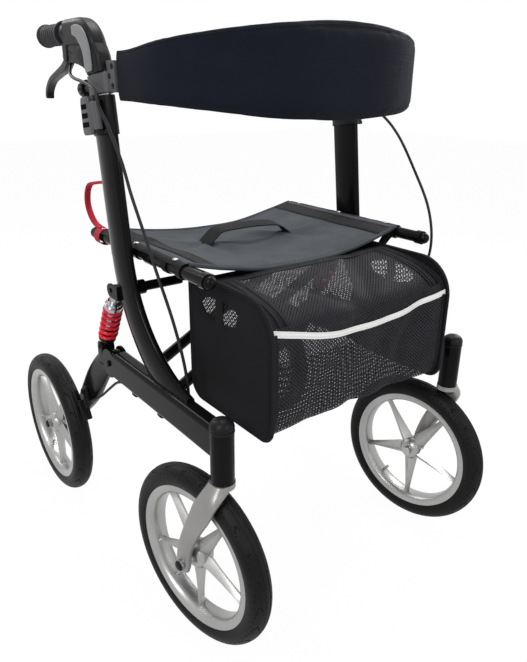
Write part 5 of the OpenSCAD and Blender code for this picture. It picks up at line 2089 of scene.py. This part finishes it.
@dataclass
class Backrest:
    """Padded band that bows forward between the handles."""

    trail: PathRepeat
    reach: float = 246.0
    ends_y: float = 262.0
    bow: float = 212.0
    power: float = 2.6
    height: float = 66.4
    depth: float = 7.0
    level: float = 861.0
    sections: tuple[int, int] = (260, 72)
    seams: tuple[int, ...] = (9, 27, 45, 63)
    kept: float = 0.611
    filling: Filling = Filling()

    def middle(self, share: float) -> tuple[float, float, float]:
        """Centre line at a share of the way from left to right: x, y and z.

        Args:
            share: The share.

        Returns:
            The point in millimetres.
        """
        t = math.pi * (1 - share)
        x = self.reach * swell(math.cos(t), 2 / self.power)
        e = abs(x) / self.reach
        y = self.ends_y - self.bow * max(math.sin(t), 0.0) ** (2 / self.power)
        return x, y, self.level - 4 * e * e - 4 * e ** 30

    def rings(self, n: int, m: int) -> list[list[Vector]]:
        """Sections along the band.

        Args:
            n: Number of sections.
            m: Points in each.

        Returns:
            The sections in metres.
        """
        shares = [0.5 - 0.5 * math.cos(math.pi * k / (n - 1)) for k in range(n)]
        shares = [0.55 * s + 0.45 * k / (n - 1) for k, s in enumerate(shares)]
        mids = [Vector(self.middle(s)) for s in shares]
        made = []
        for k, p in enumerate(mids):
            way = mids[min(k + 1, n - 1)] - mids[max(k - 1, 0)]
            out = Vector((way.y, -way.x, 0)).normalized()
            e = min(abs(p.x) / self.reach, 1.0)
            half = self.height * (1 - 0.40 * e ** 1.9 - 0.10 * e ** 30)
            thick = self.depth * (1 - 0.3 * e ** 10)
            ring = []
            for j in range(m):
                a = math.tau * j / m
                up = swell(math.sin(a), 0.25)
                deep = swell(math.cos(a), 0.6)
                seam = math.exp(-((abs(up) - 0.86) / 0.035) ** 2)
                puff = 1 + 0.05 * noise.noise(Vector((p.x * 0.012, up * 1.6, deep))) - 0.1 * seam
                q = p + out * (thick * deep * puff) + Vector((0, 0, half * up))
                ring.append(at(*q))
            made.append(ring)
        return made

    def build(self) -> None:
        """Makes the band with its seams."""
        slack = self.rings(*self.sections)
        rings = self.filling.fill(solid(skin(slack)), slack)
        band = solid(skin(rings))
        pieces = [emit("backrest_pad", band, BAND_CLOTH, "left_handle", ["backrest_band"], 60)]
        seams = [[r[j] for r in rings[4:-4]] for j in self.seams]
        thread = self.trail.run("backrest_seams", seams, bead(0.0034, 0.0010, 0.0009), 0.0048, BAND_CLOTH)
        pieces.append(emit("backrest_stitches", thread, SATIN_BLACK, "left_handle"))
        anchor = tuple(at(-self.reach, 0, self.level))
        for piece in pieces:
            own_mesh(piece)


@dataclass
class LiftLoop:
    """Red webbing loop on the left rail, pulled to fold the frame."""

    x: float = -228.0
    rail_z: float = 590.0
    ring_r: float = 13.9
    rings: tuple[float, float] = (413.0, 340.0)
    route: tuple[tuple[float, float], ...] = (
        (415, 603), (430, 604), (448, 609), (464, 622), (472, 640), (468, 660), (454, 675), (430, 681), (390, 687),
        (362, 688), (345, 676), (340, 650), (340, 620), (340, 603))

    def build(self) -> None:
        """Makes the loop with its two turns round the rail."""
        line = [at(self.x, y, z) for y, z in smooth(self.route, 8)]
        made = solid(sweep(line, lambda _: oval_ring(16, 0.0055, 0.0027, 0.5), Vector((1, 0, 0))))
        for y in self.rings:
            ring = [at(self.x + self.ring_r * math.cos(t), y, self.rail_z + self.ring_r * math.sin(t))
                    for t in np.linspace(0, math.tau, 41)[:-1]]
            made.add(solid(flat_tape(ring, 0.022, 0.0014, Vector((0, 1, 0)), True)))
        emit("lift_loop_tape", made, RED_TAPE, "loop", ["fold_loop"])


def main() -> None:
    """Builds the stage and every sub-assembly."""
    logging.basicConfig(level=logging.INFO, format="%(name)s: %(message)s")
    rings, trail = RingRepeat(), PathRepeat()
    for assembly in (Studio(), Cables(), Wheels(rings), Chassis(trail), Shocks(), Handles(rings), Seat(trail),
                     Basket(trail), Backrest(trail), LiftLoop()):
        assembly.build()
        LOG.info("%s done", type(assembly).__name__)


if __name__ == "__main__":
    main()
